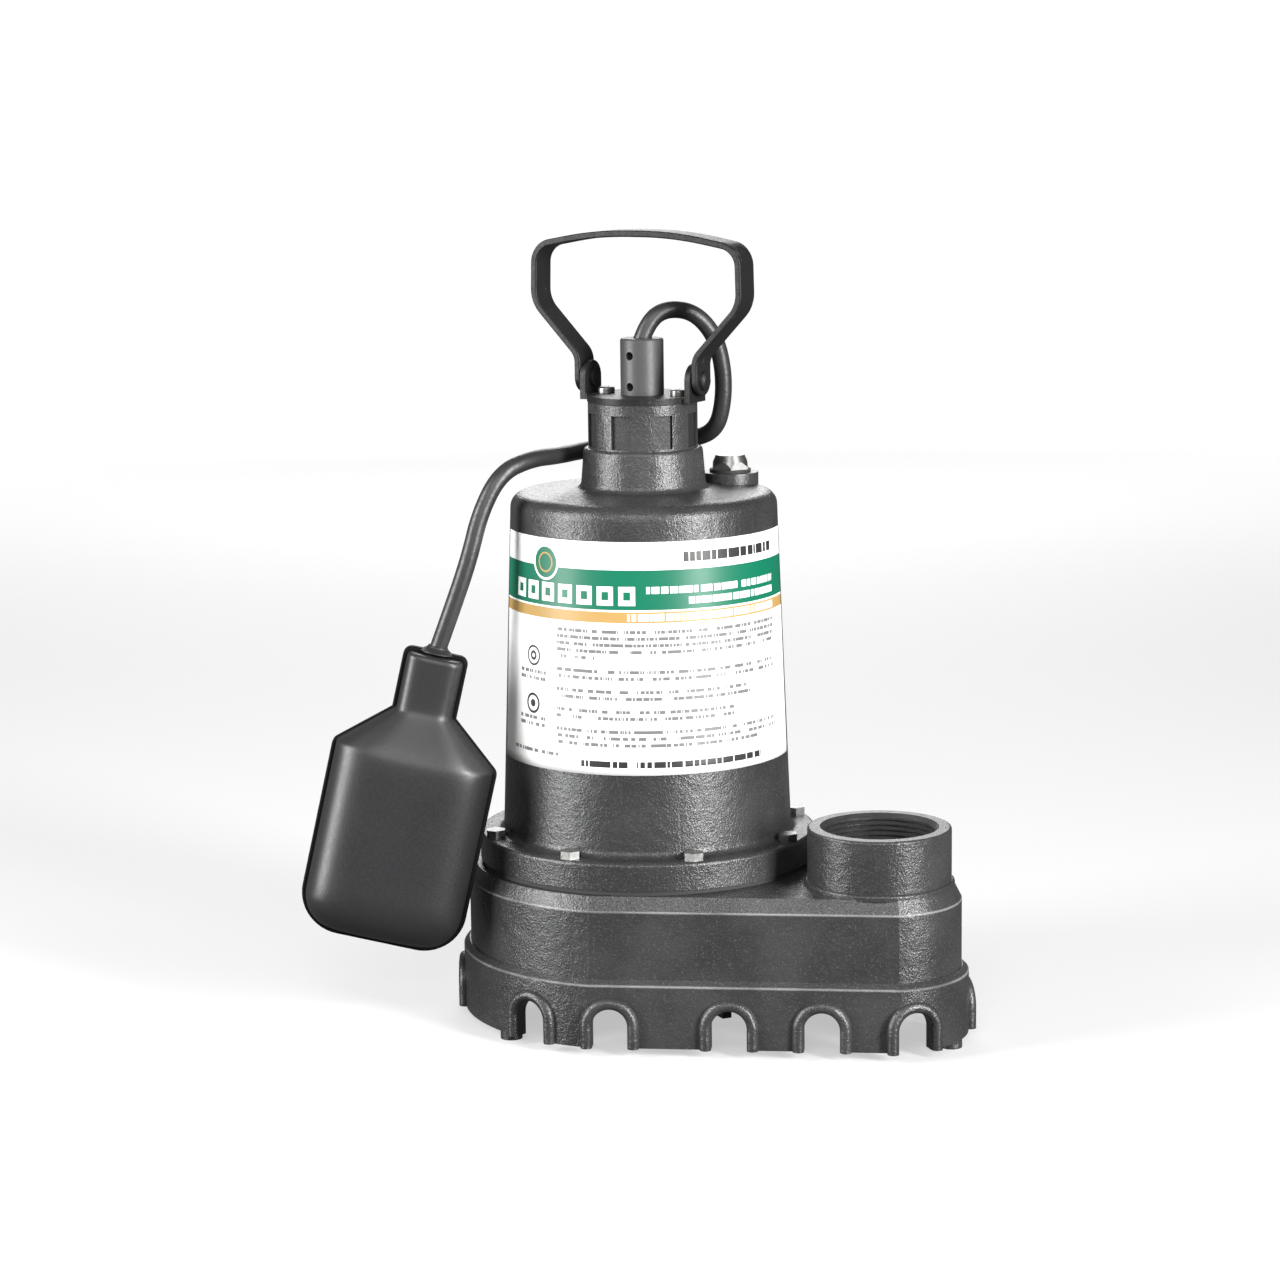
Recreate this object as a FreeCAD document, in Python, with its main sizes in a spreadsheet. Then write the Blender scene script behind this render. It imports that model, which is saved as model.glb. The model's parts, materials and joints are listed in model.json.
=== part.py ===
"""Submersible sump pump with a tethered float switch.

Frame: millimetres, +Z up, +X from the motor towards the discharge, and the origin at the middle of the
base's footprint on the floor. The sheet below holds the driving sizes; every other size is worked out from
them, and the expressions that bind the document's objects to the sheet are built in the same arithmetic.
"""

import FreeCAD, Part
import math
import os
import Sketcher

Vector = FreeCAD.Vector
Rotation = FreeCAD.Rotation

doc = FreeCAD.newDocument("SumpPump")

# ---------------------------------------------------------------- driving sizes

SIZES = [
    ("foot_height", 3.5, "pegs below the skirt"),
    ("skirt_height", 28.5, "strainer skirt, from its lower edge to the split line"),
    ("skirt_step", 3.0, "skirt outside the volute's side"),
    ("skirt_wall", 5.0, "wall of the strainer skirt"),
    ("base_plate", 5.0, "plate that closes the volute from below"),
    ("band_height", 28.0, "upright side of the volute casing"),
    ("deck_rise", 6.0, "sloped edge between the side and the deck"),
    ("deck_inset", 3.0, "how far the sloped edge leans in"),
    ("deck_thickness", 10.0, "roof of the volute"),
    ("volute_radius", 76.5, "round end of the volute about the motor axis"),
    ("volute_end_radius", 34.0, "round end about the discharge axis"),
    ("discharge_offset", 109.0, "motor axis to discharge axis"),
    ("flat_start", 13.0, "degrees, flat flank's cut before the tangent point on the motor end"),
    ("flat_end", 15.5, "degrees, flat flank's cut past the tangent point on the discharge end"),
    ("discharge_height", 24.0, "discharge boss above the deck"),
    ("discharge_radius", 29.8, "outside of the discharge boss"),
    ("thread_radius", 22.9, "wall between the thread's grooves"),
    ("thread_pitch", 2.209, "one and a half inch pipe thread, 11.5 to the inch"),
    ("thread_depth", 1.1, "depth of the thread's grooves"),
    ("slot_width", 14.7, "suction slots in the skirt"),
    ("slot_height", 16.5, "slots, from the skirt's lower edge to the crown"),
    ("bead_radius", 2.4, "raised round bead around each slot"),
    ("eye_radius", 20.0, "suction eye in the base plate"),
    ("gasket_thickness", 2.0, "gasket between the deck and the motor flange"),
    ("flange_radius", 71.5, "motor flange"),
    ("flange_thickness", 11.5, "motor flange"),
    ("screw_circle", 66.8, "flange screws' pitch radius"),
    ("screw_radius", 2.5, "flange screws' shank"),
    ("housing_height", 144.0, "motor housing above its flange"),
    ("housing_foot_radius", 61.4, "motor housing at the flange"),
    ("housing_radius", 56.0, "motor housing at its shoulder"),
    ("shoulder_round", 6.0, "round of the housing's shoulder"),
    ("bore_wall", 6.0, "housing wall outside the stator, at the shoulder"),
    ("top_wall", 9.0, "top of the housing"),
    ("lower_neck_height", 19.0, "cone between the housing and the faceted neck"),
    ("lower_neck_radius", 26.4, "that cone's foot"),
    ("neck_height", 19.0, "faceted neck"),
    ("neck_radius", 23.0, "ridges of the faceted neck"),
    ("neck_bore", 15.0, "passage for the leads"),
    ("pocket_depth", 1.6, "pockets between the ridges"),
    ("cap_gasket", 0.5, "gasket under the cap plate"),
    ("cap_thickness", 2.5, "cap plate and its ears"),
    ("cap_screw_offset", 17.3, "cap screws from the axis"),
    ("sleeve_radius", 9.1, "cord connector sleeve"),
    ("sleeve_height", 23.5, "cord connector sleeve"),
    ("cord_diameter", 7.2, "round rubber cord"),
    ("handle_width", 12.7, "handle strap"),
    ("handle_thickness", 2.8, "handle strap"),
    ("handle_rise", 60.5, "rivets to the middle of the handle's crown"),
    ("handle_bow", 5.0, "crown above the corners"),
    ("handle_half_width", 48.0, "middle of the strap to the axis, at the grip"),
    ("handle_corner", 9.0, "bend radius at the grip's corners"),
    ("rivet_radius", 2.4, "handle rivets"),
    ("plug_boss_radius", 12.0, "oil filler boss"),
    ("plug_across", 14.6, "oil filler plug, across flats"),
    ("label_low", 34.5, "label's lower edge above the flange"),
    ("label_height", 96.0, "label"),
    ("label_angle", 154.0, "degrees of the housing that the label covers"),
    ("shaft_radius", 6.0, "motor shaft in its bearings"),
    ("bearing_radius", 16.0, "ball bearings' outside"),
    ("bearing_width", 10.0, "ball bearings"),
    ("rotor_radius", 27.0, "rotor core"),
    ("air_gap", 0.4, "between rotor and stator"),
    ("impeller_radius", 45.0, "impeller shroud"),
    ("plug_fit_radius", 48.0, "opening of the deck that the lower bracket fills"),
    ("fit", 0.05, "radial clearance of fits and running fits"),
    ("float_width", 70.0, "float body"),
    ("float_length", 127.0, "float with its neck"),
    ("float_depth", 42.0, "float, front to back"),
    ("float_wall", 2.5, "float shells"),
    ("ball_radius", 5.5, "switch ball"),
    ("ball_travel", 20.0, "switch ball"),
]


class Size:
    """A size as its number and as the sheet expression that gives that number."""

    def __init__(self, value, text):
        self.value = float(value)
        self.text = text

    def __add__(self, other):
        return joined(self, "+", other, self.value + number(other))

    def __radd__(self, other):
        return joined(other, "+", self, number(other) + self.value)

    def __sub__(self, other):
        return joined(self, "-", other, self.value - number(other))

    def __rsub__(self, other):
        return joined(other, "-", self, number(other) - self.value)

    def __mul__(self, other):
        return joined(self, "*", other, self.value * number(other))

    def __rmul__(self, other):
        return joined(other, "*", self, number(other) * self.value)

    def __truediv__(self, other):
        return joined(self, "/", other, self.value / number(other))

    def __neg__(self):
        return joined(0, "-", self, -self.value)


def number(size):
    return size.value if isinstance(size, Size) else float(size)


def text(size):
    return size.text if isinstance(size, Size) else "(%.6f)" % size


def joined(left, sign, right, value):
    return Size(value, "(%s %s %s)" % (text(left), sign, text(right)))


def cosine(angle):
    """The cosine of an angle in degrees."""
    return Size(math.cos(math.radians(number(angle))), "cos(%s)" % text(angle))


def sine(angle):
    """The sine of an angle in degrees."""
    return Size(math.sin(math.radians(number(angle))), "sin(%s)" % text(angle))


def arc_sine(ratio):
    """The angle in degrees whose sine is the ratio."""
    return Size(math.degrees(math.asin(number(ratio))), "(asin(%s) / 1 deg)" % text(ratio))


class Dimensions:
    """Every driving size, by its alias."""


sheet = doc.addObject("Spreadsheet::Sheet", "Sizes")
d = Dimensions()
for row, (alias, value, note) in enumerate(SIZES, 1):
    sheet.set("A%d" % row, note)
    sheet.set("B%d" % row, str(value))
    sheet.setAlias("B%d" % row, alias)
    setattr(d, alias, Size(value, "Sizes." + alias))
doc.recompute()

# ---------------------------------------------------------------- worked-out places

skirt_low = d.foot_height
skirt_top = skirt_low + d.skirt_height
band_top = skirt_top + d.band_height
deck_top = band_top + d.deck_rise
chamber_top = deck_top - d.deck_thickness
flange_low = deck_top + d.gasket_thickness
flange_top = flange_low + d.flange_thickness
housing_top = flange_top + d.housing_height
lower_neck_top = housing_top + d.lower_neck_height
neck_top = lower_neck_top + d.neck_height
cap_low = neck_top + d.cap_gasket
cap_top = cap_low + d.cap_thickness
sleeve_top = cap_top + d.sleeve_height
discharge_top = deck_top + d.discharge_height

# The footprint's middle is the origin, so the motor axis lies at a negative X.
motor_x = -(d.discharge_offset + d.volute_end_radius - d.volute_radius) / 2
discharge_x = motor_x + d.discharge_offset

bore_radius = d.housing_radius - d.bore_wall
inner_top = housing_top - d.top_wall
cord_radius = d.cord_diameter / 2

# ---------------------------------------------------------------- document helpers

nodes = {}


def keep(thing, node):
    """Name a finished sub-part: its label is its node and its file."""
    thing.Label = node
    nodes[node] = thing
    return thing


def bind(thing, **sizes):
    for name, size in sizes.items():
        thing.setExpression(name, text(size))
    return thing


def place(thing, x=motor_x, y=0.0, z=0.0, turn=None):
    """Put an object at a place that the sheet gives; turn is a Rotation."""
    at = Vector(number(x), number(y), number(z))
    thing.Placement = FreeCAD.Placement(at, turn or Rotation())
    for axis, size in zip("xyz", (x, y, z)):
        thing.setExpression("Placement.Base." + axis, text(size))
    return thing


def cylinder(name, radius, height, x=motor_x, y=0.0, z=0.0, turn=None, angle=360.0):
    thing = bind(doc.addObject("Part::Cylinder", name), Radius=radius, Height=height, Angle=angle)
    return place(thing, x, y, z, turn)


def cone(name, low_radius, high_radius, height, x=motor_x, y=0.0, z=0.0, turn=None, angle=360.0):
    thing = doc.addObject("Part::Cone", name)
    bind(thing, Radius1=low_radius, Radius2=high_radius, Height=height, Angle=angle)
    return place(thing, x, y, z, turn)


def box(name, length, width, height, x, y, z, turn=None):
    thing = bind(doc.addObject("Part::Box", name), Length=length, Width=width, Height=height)
    return place(thing, x, y, z, turn)


def hexagon(name, across_flats, height, x=motor_x, y=0.0, z=0.0, turn=None):
    thing = doc.addObject("Part::Prism", name)
    thing.Polygon = 6
    bind(thing, Circumradius=across_flats / math.sqrt(3), Height=height)
    return place(thing, x, y, z, turn)


def fuse(name, things):
    thing = doc.addObject("Part::MultiFuse", name)
    thing.Shapes = things
    return thing


def group(name, things):
    """Several separate solids as one sub-part."""
    thing = doc.addObject("Part::Compound", name)
    thing.Links = things
    return thing


def cut(name, base, tools):
    thing = doc.addObject("Part::Cut", name)
    thing.Base = base
    thing.Tool = tools[0] if len(tools) == 1 else fuse(name + "_tools", tools)
    return thing


def common(name, things):
    thing = doc.addObject("Part::MultiCommon", name)
    thing.Shapes = things
    return thing


def rounded(name, base, chosen, radius):
    """Fillet the edges of a base that the chosen test picks."""
    doc.recompute()
    edges = base.Shape.Edges
    picked = [index for index, edge in enumerate(edges, 1) if chosen(edge)]
    if not picked:
        raise ValueError("no edge to round on " + name)
    thing = doc.addObject("Part::Fillet", name)
    thing.Base = base
    thing.Edges = [(index, number(radius), number(radius)) for index in picked]
    return thing


def circle_at(radius, z):
    """A test for round edges about an upright axis, of one radius at one height."""
    def test(edge):
        if not hasattr(edge.Curve, "Radius") or edge.Curve.TypeId != "Part::GeomCircle":
            return False
        right_radius = abs(edge.Curve.Radius - number(radius)) < 0.02
        return right_radius and abs(edge.Curve.Center.z - number(z)) < 0.02
    return test


def any_of(*tests):
    return lambda edge: any(test(edge) for test in tests)


def shape_feature(name, shape, placement=None):
    """A sub-part whose shape neither a body nor a primitive can give."""
    thing = doc.addObject("Part::Feature", name)
    thing.Shape = shape
    if placement:
        thing.Placement = placement
    return thing


def hold(sketch, index, point, x, y):
    """Fix one point of a sketch at a place that the sheet gives; a zero puts it on the axis."""
    for kind, size, axis in (("DistanceX", x, -2), ("DistanceY", y, -1)):
        if abs(number(size)) < 1e-9:
            sketch.addConstraint(Sketcher.Constraint("PointOnObject", index, point, axis))
            continue
        row = sketch.addConstraint(Sketcher.Constraint(kind, -1, 1, index, point, number(size)))
        sketch.setExpression("Constraints[%d]" % row, text(size))


def closed_profile(sketch, points):
    """Straight lines through the points, closed, each corner held where the sheet puts it."""
    places = [Vector(number(x), number(y), 0) for x, y in points]
    for index, start in enumerate(places):
        sketch.addGeometry(Part.LineSegment(start, places[(index + 1) % len(places)]), False)
    for index in range(len(places)):
        following = (index + 1) % len(places)
        sketch.addConstraint(Sketcher.Constraint("Coincident", index, 2, following, 1))
    for index, (x, y) in enumerate(points):
        hold(sketch, index, 1, x, y)


def body_sketch(body, name, plane):
    sketch = body.newObject("Sketcher::SketchObject", name)
    origin = [item for item in body.Origin.OriginFeatures if item.Role == plane][0]
    sketch.AttachmentSupport = [(origin, "")]
    sketch.MapMode = "FlatFace"
    return sketch


def turned(name, profile, x=motor_x, y=0.0, z=0.0, turn=None):
    """A lathe part: a closed profile of (radius, height) corners, revolved about the body's Z axis."""
    body = doc.addObject("PartDesign::Body", name)
    sketch = body_sketch(body, name + "_profile", "XZ_Plane")
    closed_profile(sketch, profile)
    revolution = body.newObject("PartDesign::Revolution", name + "_turn")
    revolution.Profile = sketch
    revolution.ReferenceAxis = (sketch, ["V_Axis"])
    revolution.Angle = 360
    body.Tip = revolution
    return place(body, x, y, z, turn)


def ring(name, inner, outer, low, high, **where):
    """A plain turned ring between two radii and two heights."""
    return turned(name, [(inner, low), (outer, low), (outer, high), (inner, high)], **where)


def around(count, first=0.0):
    """Angles in degrees, evenly spaced."""
    return [first + 360.0 * index / count for index in range(count)]


def polar(radius, angle, x=motor_x):
    """A place at a radius and an angle about an upright axis."""
    return x + radius * cosine(angle), radius * sine(angle)


# ---------------------------------------------------------------- the base's outline

# Two round ends joined by flat flanks. A flank is a chord: it leaves the motor end a little before the
# common tangent would touch it, and meets the discharge end a little past it, so both corners show.
tangent_angle = 90 - arc_sine((d.volute_radius - d.volute_end_radius) / d.discharge_offset)
start_angle = tangent_angle + d.flat_start
end_angle = tangent_angle - d.flat_end


def outline_sketch(name, grow, z):
    """The outline, grown outwards by a distance, at a height."""
    big = d.volute_radius + grow
    small = d.volute_end_radius + grow
    far = d.discharge_offset
    sketch = doc.addObject("Sketcher::SketchObject", name)
    up = Vector(0, 0, 1)
    alpha = math.radians(number(start_angle))
    beta = math.radians(number(end_angle))
    big_circle = Part.Circle(Vector(), up, number(big))
    small_circle = Part.Circle(Vector(number(far), 0, 0), up, number(small))
    corners = [
        Vector(number(big) * math.cos(alpha), number(big) * math.sin(alpha), 0),
        Vector(number(far) + number(small) * math.cos(beta), number(small) * math.sin(beta), 0),
    ]
    corners += [Vector(corner.x, -corner.y, 0) for corner in reversed(corners)]
    sketch.addGeometry(Part.ArcOfCircle(big_circle, alpha, 2 * math.pi - alpha), False)
    sketch.addGeometry(Part.LineSegment(corners[3], corners[2]), False)
    sketch.addGeometry(Part.ArcOfCircle(small_circle, -beta, beta), False)
    sketch.addGeometry(Part.LineSegment(corners[1], corners[0]), False)
    for index in range(4):
        sketch.addConstraint(Sketcher.Constraint("Coincident", index, 2, (index + 1) % 4, 1))
    sketch.addConstraint(Sketcher.Constraint("Coincident", 0, 3, -1, 1))
    hold(sketch, 2, 3, far, 0.0)
    for index, size in ((0, big), (2, small)):
        row = sketch.addConstraint(Sketcher.Constraint("Radius", index, number(size)))
        sketch.setExpression("Constraints[%d]" % row, text(size))
    for index, point, size in (
        (0, 1, big * cosine(start_angle)),
        (0, 2, big * cosine(start_angle)),
        (2, 1, far + small * cosine(end_angle)),
        (2, 2, far + small * cosine(end_angle)),
    ):
        row = sketch.addConstraint(Sketcher.Constraint("DistanceX", -1, 1, index, point, number(size)))
        sketch.setExpression("Constraints[%d]" % row, text(size))
    return place(sketch, z=z)


def outline_solid(name, low_grow, low, high_grow, high):
    """The outline carried from one height to another, growing or shrinking on the way."""
    loft = doc.addObject("Part::Loft", name)
    loft.Sections = [
        outline_sketch(name + "_low", low_grow, low),
        outline_sketch(name + "_high", high_grow, high),
    ]
    loft.Solid = True
    loft.Ruled = True
    return loft


# ---------------------------------------------------------------- volute casing

volute_cavity_radius = d.volute_radius - 18.5
channel_half_width = d.volute_end_radius - 14
base_screw_radius = 2.1
base_screw_depth = 12.0
# Base screws: four in the wall about the motor axis, and two beside the discharge bore.
base_screw_places = [polar(d.volute_radius - 8.5, angle) for angle in (-135, -62, 62, 135)]
base_screw_places += [polar(d.volute_end_radius - 7.4, angle, discharge_x) for angle in (-70, 70)]

flange_screw_angles = around(8)
flange_screw_places = [polar(d.screw_circle, angle) for angle in flange_screw_angles]


def make_volute():
    side = outline_solid("volute_side", 0.0, skirt_top, 0.0, band_top)
    slope = outline_solid("volute_slope", 0.0, band_top, -d.deck_inset, deck_top)
    boss = cylinder("discharge_boss", d.discharge_radius, discharge_top - band_top, discharge_x, z=band_top)
    step = cylinder("discharge_step", d.discharge_radius + 1.3, 2.6, discharge_x, z=deck_top - 0.6)
    outside = rounded(
        "discharge_rim",
        fuse("volute_outside", [side, slope, boss, step]),
        any_of(
            circle_at(d.discharge_radius, discharge_top),
            circle_at(d.discharge_radius + 1.3, deck_top + 2.0),
        ),
        1.0,
    )
    chamber_height = chamber_top - skirt_top
    tools = [
        cylinder("impeller_chamber", d.plug_fit_radius, chamber_height, z=skirt_top),
        cylinder("spiral_chamber", volute_cavity_radius, chamber_height, motor_x + 6, z=skirt_top),
        box("outlet_channel", d.discharge_offset - 20, channel_half_width * 2, chamber_height,
            motor_x + 20, -channel_half_width, skirt_top),
        cylinder("outlet_well", channel_half_width, chamber_height, discharge_x, z=skirt_top),
        cylinder("bracket_opening", d.plug_fit_radius, d.deck_thickness, z=chamber_top),
        cylinder("discharge_bore", d.thread_radius, discharge_top - chamber_top, discharge_x, z=chamber_top),
        cone("discharge_mouth", d.thread_radius, d.thread_radius + 1.7, 1.7,
             discharge_x, z=discharge_top - 1.7),
    ]
    for index, (x, y) in enumerate(flange_screw_places):
        tools.append(cylinder("deck_hole_%d" % index, d.screw_radius + d.fit,
                              d.deck_thickness - 1.5, x, y, chamber_top + 1.5))
    for index, (x, y) in enumerate(base_screw_places):
        tools.append(cylinder("volute_base_hole_%d" % index, base_screw_radius + d.fit,
                              base_screw_depth, x, y, skirt_top))
    turns = int(number(d.discharge_height - 4) / number(d.thread_pitch))
    for turn in range(turns):
        low = discharge_top - 2.4 - d.thread_pitch * (turn + 0.85)
        half = d.thread_pitch * 0.4
        grown = d.thread_radius + d.thread_depth
        tools.append(turned("thread_groove_%d" % turn, [
            (d.thread_radius - 0.5, low), (d.thread_radius, low), (grown, low + half),
            (d.thread_radius, low + half * 2), (d.thread_radius - 0.5, low + half * 2),
        ], x=discharge_x))
    return keep(cut("volute_body", outside, tools), "volute_casing")


make_volute()

# ---------------------------------------------------------------- strainer base


def flank_place(distance, side):
    """A place on the skirt's flat flank, at a distance from its corner on the motor end, and the outward
    direction there, in degrees; side is 1 for +Y."""
    grow = number(d.skirt_step)
    big = number(d.volute_radius) + grow
    small = number(d.volute_end_radius) + grow
    alpha = math.radians(number(start_angle))
    beta = math.radians(number(end_angle))
    start = Vector(big * math.cos(alpha), big * math.sin(alpha), 0)
    end = Vector(number(d.discharge_offset) + small * math.cos(beta), small * math.sin(beta), 0)
    along = (end - start).normalize()
    spot = start + along * distance
    outward = math.degrees(math.atan2(along.x, -along.y))
    return Vector(number(motor_x) + spot.x, spot.y * side, 0), outward * side, 0.0


def round_place(radius, angle, x):
    """A place on a round end of the skirt, the outward direction, and how far a slot's flat bead
    has to sit inside the round surface."""
    spot = Vector(number(x) + number(radius) * math.cos(math.radians(angle)),
                  number(radius) * math.sin(math.radians(angle)), 0)
    half = number(d.slot_width) / 2 + number(d.bead_radius)
    sag = number(radius) - math.sqrt(number(radius) ** 2 - half ** 2)
    return spot, angle, sag / 2


skirt_radius = d.volute_radius + d.skirt_step
skirt_end_radius = d.volute_end_radius + d.skirt_step
slot_places = [round_place(skirt_radius, angle, motor_x) for angle in (-151, -99.6, 99.6, 151)]
slot_places += [flank_place(distance, side) for side in (-1, 1) for distance in (9.0, 58.0, 96.0)]
slot_places += [round_place(skirt_end_radius, angle, discharge_x) for angle in (-42, 42)]


def slot_tool(index, spot, outward):
    """An arch that cuts through the skirt's wall from outside."""
    half = d.slot_width / 2
    depth = d.skirt_wall + 14
    turn = Rotation(Vector(0, 0, 1), outward)
    inward = turn.multVec(Vector(-number(d.skirt_wall) - 5, 0, 0))
    side = turn.multVec(Vector(0, -number(half), 0))
    foot = box("slot_foot_%d" % index, depth, d.slot_width, d.slot_height - half + 1,
               spot.x + inward.x + side.x, spot.y + inward.y + side.y, skirt_low - 1, turn)
    crown = cylinder("slot_crown_%d" % index, half, depth,
                     spot.x + inward.x, spot.y + inward.y, skirt_low + d.slot_height - half,
                     turn.multiply(Rotation(Vector(0, 1, 0), 90)))
    return [foot, crown]


def slot_bead(index, spot, outward, inset):
    """A round bead that runs up one side of a slot, over its crown and down the other side."""
    arch = d.slot_width / 2 + d.bead_radius - 0.1
    turn = Rotation(Vector(0, 0, 1), outward)
    centre = spot + turn.multVec(Vector(0.2 - inset, 0, 0))
    spring_line = skirt_low + d.slot_height - d.slot_width / 2
    half_ring = doc.addObject("Part::Torus", "bead_crown_%d" % index)
    bind(half_ring, Radius1=arch, Radius2=d.bead_radius, Angle3=180.0)
    # The half ring lies in the local XY plane; it is stood up so that it arches over the slot.
    stood = turn.multiply(Rotation(Vector(0, 0, 1), 90)).multiply(Rotation(Vector(1, 0, 0), 90))
    place(half_ring, centre.x, centre.y, spring_line, stood)
    legs = []
    for side in (-1, 1):
        offset = turn.multVec(Vector(0, side * number(arch), 0))
        legs.append(cylinder("bead_leg_%d_%d" % (index, side > 0), d.bead_radius, spring_line - skirt_low,
                             centre.x + offset.x, centre.y + offset.y, skirt_low))
    return [half_ring] + legs


def make_base():
    inner = d.skirt_step - d.skirt_wall
    edge = 2.4
    side = outline_solid("skirt_side", d.skirt_step, skirt_low, d.skirt_step, skirt_top - edge)
    slope = outline_solid("skirt_slope", d.skirt_step, skirt_top - edge, d.skirt_step - edge, skirt_top)
    hollow = outline_solid("skirt_hollow", inner, skirt_low - 1, inner, skirt_top - d.base_plate)
    walls = cut("skirt_walls", fuse("skirt_outside", [side, slope]), [hollow])
    beads = []
    cuts = []
    for index, (spot, outward, inset) in enumerate(slot_places):
        beads += slot_bead(index, spot, outward, inset)
        cuts += slot_tool(index, spot, outward)
    collar = cylinder("eye_collar", d.eye_radius + 5, 9.0, z=skirt_top - d.base_plate - 8)
    web_height = 15.0
    web_low = skirt_top - d.base_plate - web_height + 1
    web_thickness = 4.0
    webs = []
    for index, angle in enumerate((-125, -36, 36, 125, 180)):
        turn = Rotation(Vector(0, 0, 1), angle)
        start = turn.multVec(Vector(number(d.eye_radius) + 2, -web_thickness / 2, 0))
        reach = d.volute_radius - d.eye_radius - 4
        webs.append(box("web_%d" % index, reach, web_thickness, web_height,
                        motor_x + start.x, start.y, web_low, turn))
    webs.append(box("web_5", d.discharge_offset + d.volute_end_radius - d.eye_radius - 4, web_thickness,
                    web_height, motor_x + d.eye_radius + 2, -web_thickness / 2, web_low))
    inside = outline_solid("web_limit", inner + 1.0, skirt_low, inner + 1.0, skirt_top - 1)
    webs_inside = common("webs_inside", [fuse("webs", webs), inside])
    pegs = []
    peg_radius = 4.6
    for index, angle in enumerate((-112, 112)):
        x, y = polar(skirt_radius - peg_radius, angle)
        pegs.append(cylinder("peg_%d" % index, peg_radius, d.foot_height + 12, x, y))
    pegs.append(cylinder("peg_2", peg_radius, d.foot_height + 12,
                         discharge_x + skirt_end_radius - peg_radius, 0.0))
    bosses = [cylinder("base_boss_%d" % index, 5.0, 16.0, x, y, skirt_top - d.base_plate - 15)
              for index, (x, y) in enumerate(base_screw_places)]
    solid = fuse("base_solid", [walls, collar, webs_inside] + beads + pegs + bosses)
    floor_trim = box("floor_trim", 400.0, 300.0, 20.0, -200.0, -150.0, -20.0)
    cuts.append(cylinder("eye", d.eye_radius, 40.0, z=skirt_low))
    cuts.append(floor_trim)
    for index, (x, y) in enumerate(base_screw_places):
        cuts.append(cylinder("base_hole_%d" % index, base_screw_radius + 0.3, 60.0, x, y, -10.0))
    return keep(cut("base_body", solid, cuts), "strainer_base")


make_base()

# ---------------------------------------------------------------- screws


def hex_screw(name, shank, length, across, head, x, y, z, turn=None):
    """A hexagon screw: the shank goes down from z and the head stands on it."""
    turn = turn or Rotation()
    down = turn.multVec(Vector(0, 0, -1))
    lower = cylinder(name + "_shank", shank, length + 0.5,
                     x + down.x * length, y + down.y * length, z + down.z * length, turn)
    upper = hexagon(name + "_head", across, head, x, y, z, turn)
    return fuse(name, [lower, upper])


def pan_screw(name, shank, length, head_radius, head, x, y, z, turn=None):
    """A round-headed screw with a cross-shaped driver recess."""
    turn = turn or Rotation()
    up = turn.multVec(Vector(0, 0, 1))
    lower = cylinder(name + "_shank", shank, length + 0.5,
                     x - up.x * length, y - up.y * length, z - up.z * length, turn)
    upper = cylinder(name + "_head", head_radius, head, x, y, z, turn)
    solid = rounded(name + "_rounded", fuse(name + "_solid", [lower, upper]),
                    far_circle(head_radius, x, y, z, up, head), head * 0.4)
    slots = []
    for index in range(2):
        spin = turn.multiply(Rotation(Vector(0, 0, 1), 90 * index))
        corner = spin.multVec(Vector(-number(head_radius) * 0.65, -0.5, number(head) * 0.45))
        slots.append(box("%s_slot_%d" % (name, index), head_radius * 1.3, 1.0, head,
                         x + corner.x, y + corner.y, z + corner.z, spin))
    return cut(name, solid, slots)


def far_circle(radius, x, y, z, up, head):
    """A test for the outer rim of a screw's head."""
    centre = Vector(number(x), number(y), number(z)) + up * number(head)
    def test(edge):
        if not hasattr(edge.Curve, "Radius"):
            return False
        return abs(edge.Curve.Radius - number(radius)) < 0.01 and (edge.Curve.Center - centre).Length < 0.05
    return test


def make_base_screws():
    """Screws up through the skirt's bosses into the volute; their heads hang under the bosses."""
    screws = []
    seat = skirt_top - d.base_plate - 15
    grip = d.base_plate + 15 + base_screw_depth - 2
    upside_down = Rotation(Vector(1, 0, 0), 180)
    for index, (x, y) in enumerate(base_screw_places):
        screws.append(hex_screw("base_screw_%d" % index, base_screw_radius, grip, 7.0, 3.0, x, y, seat,
                                upside_down))
    keep(group("base_screw_group", screws), "base_screws")


def make_flange_screws():
    screws = []
    grip = d.flange_thickness + d.gasket_thickness + d.deck_thickness - 3
    for index, (x, y) in enumerate(flange_screw_places):
        screw = hex_screw("flange_screw_%d" % index, d.screw_radius, grip, 7.6, 3.2, x, y, flange_top)
        screws.append(screw)
    keep(group("flange_screw_group", screws), "flange_screws")


make_base_screws()
make_flange_screws()

# ---------------------------------------------------------------- gasket and motor housing

bracket_plate_radius = bore_radius + 8
bracket_plate = 6.0
seat_clearance = 0.1


def make_gasket():
    plate = ring("gasket_plate", d.plug_fit_radius + 0.2, d.flange_radius - 0.5, flange_low - 1.9, flange_low - 0.1)
    holes = [cylinder("gasket_hole_%d" % index, d.screw_radius + 0.3, 10.0, x, y, flange_low - 6)
             for index, (x, y) in enumerate(flange_screw_places)]
    keep(cut("gasket_body", plate, holes), "volute_gasket")


def housing_radius_at(z):
    """The housing's outside radius at a height: it narrows evenly from the flange to the shoulder."""
    slope = (d.housing_radius - d.housing_foot_radius) / (housing_top - flange_top)
    return d.housing_foot_radius + slope * (z - flange_top)


plug_place = (motor_x + 22.9, 35.3)
plug_boss_top = housing_top + 5.5


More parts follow.
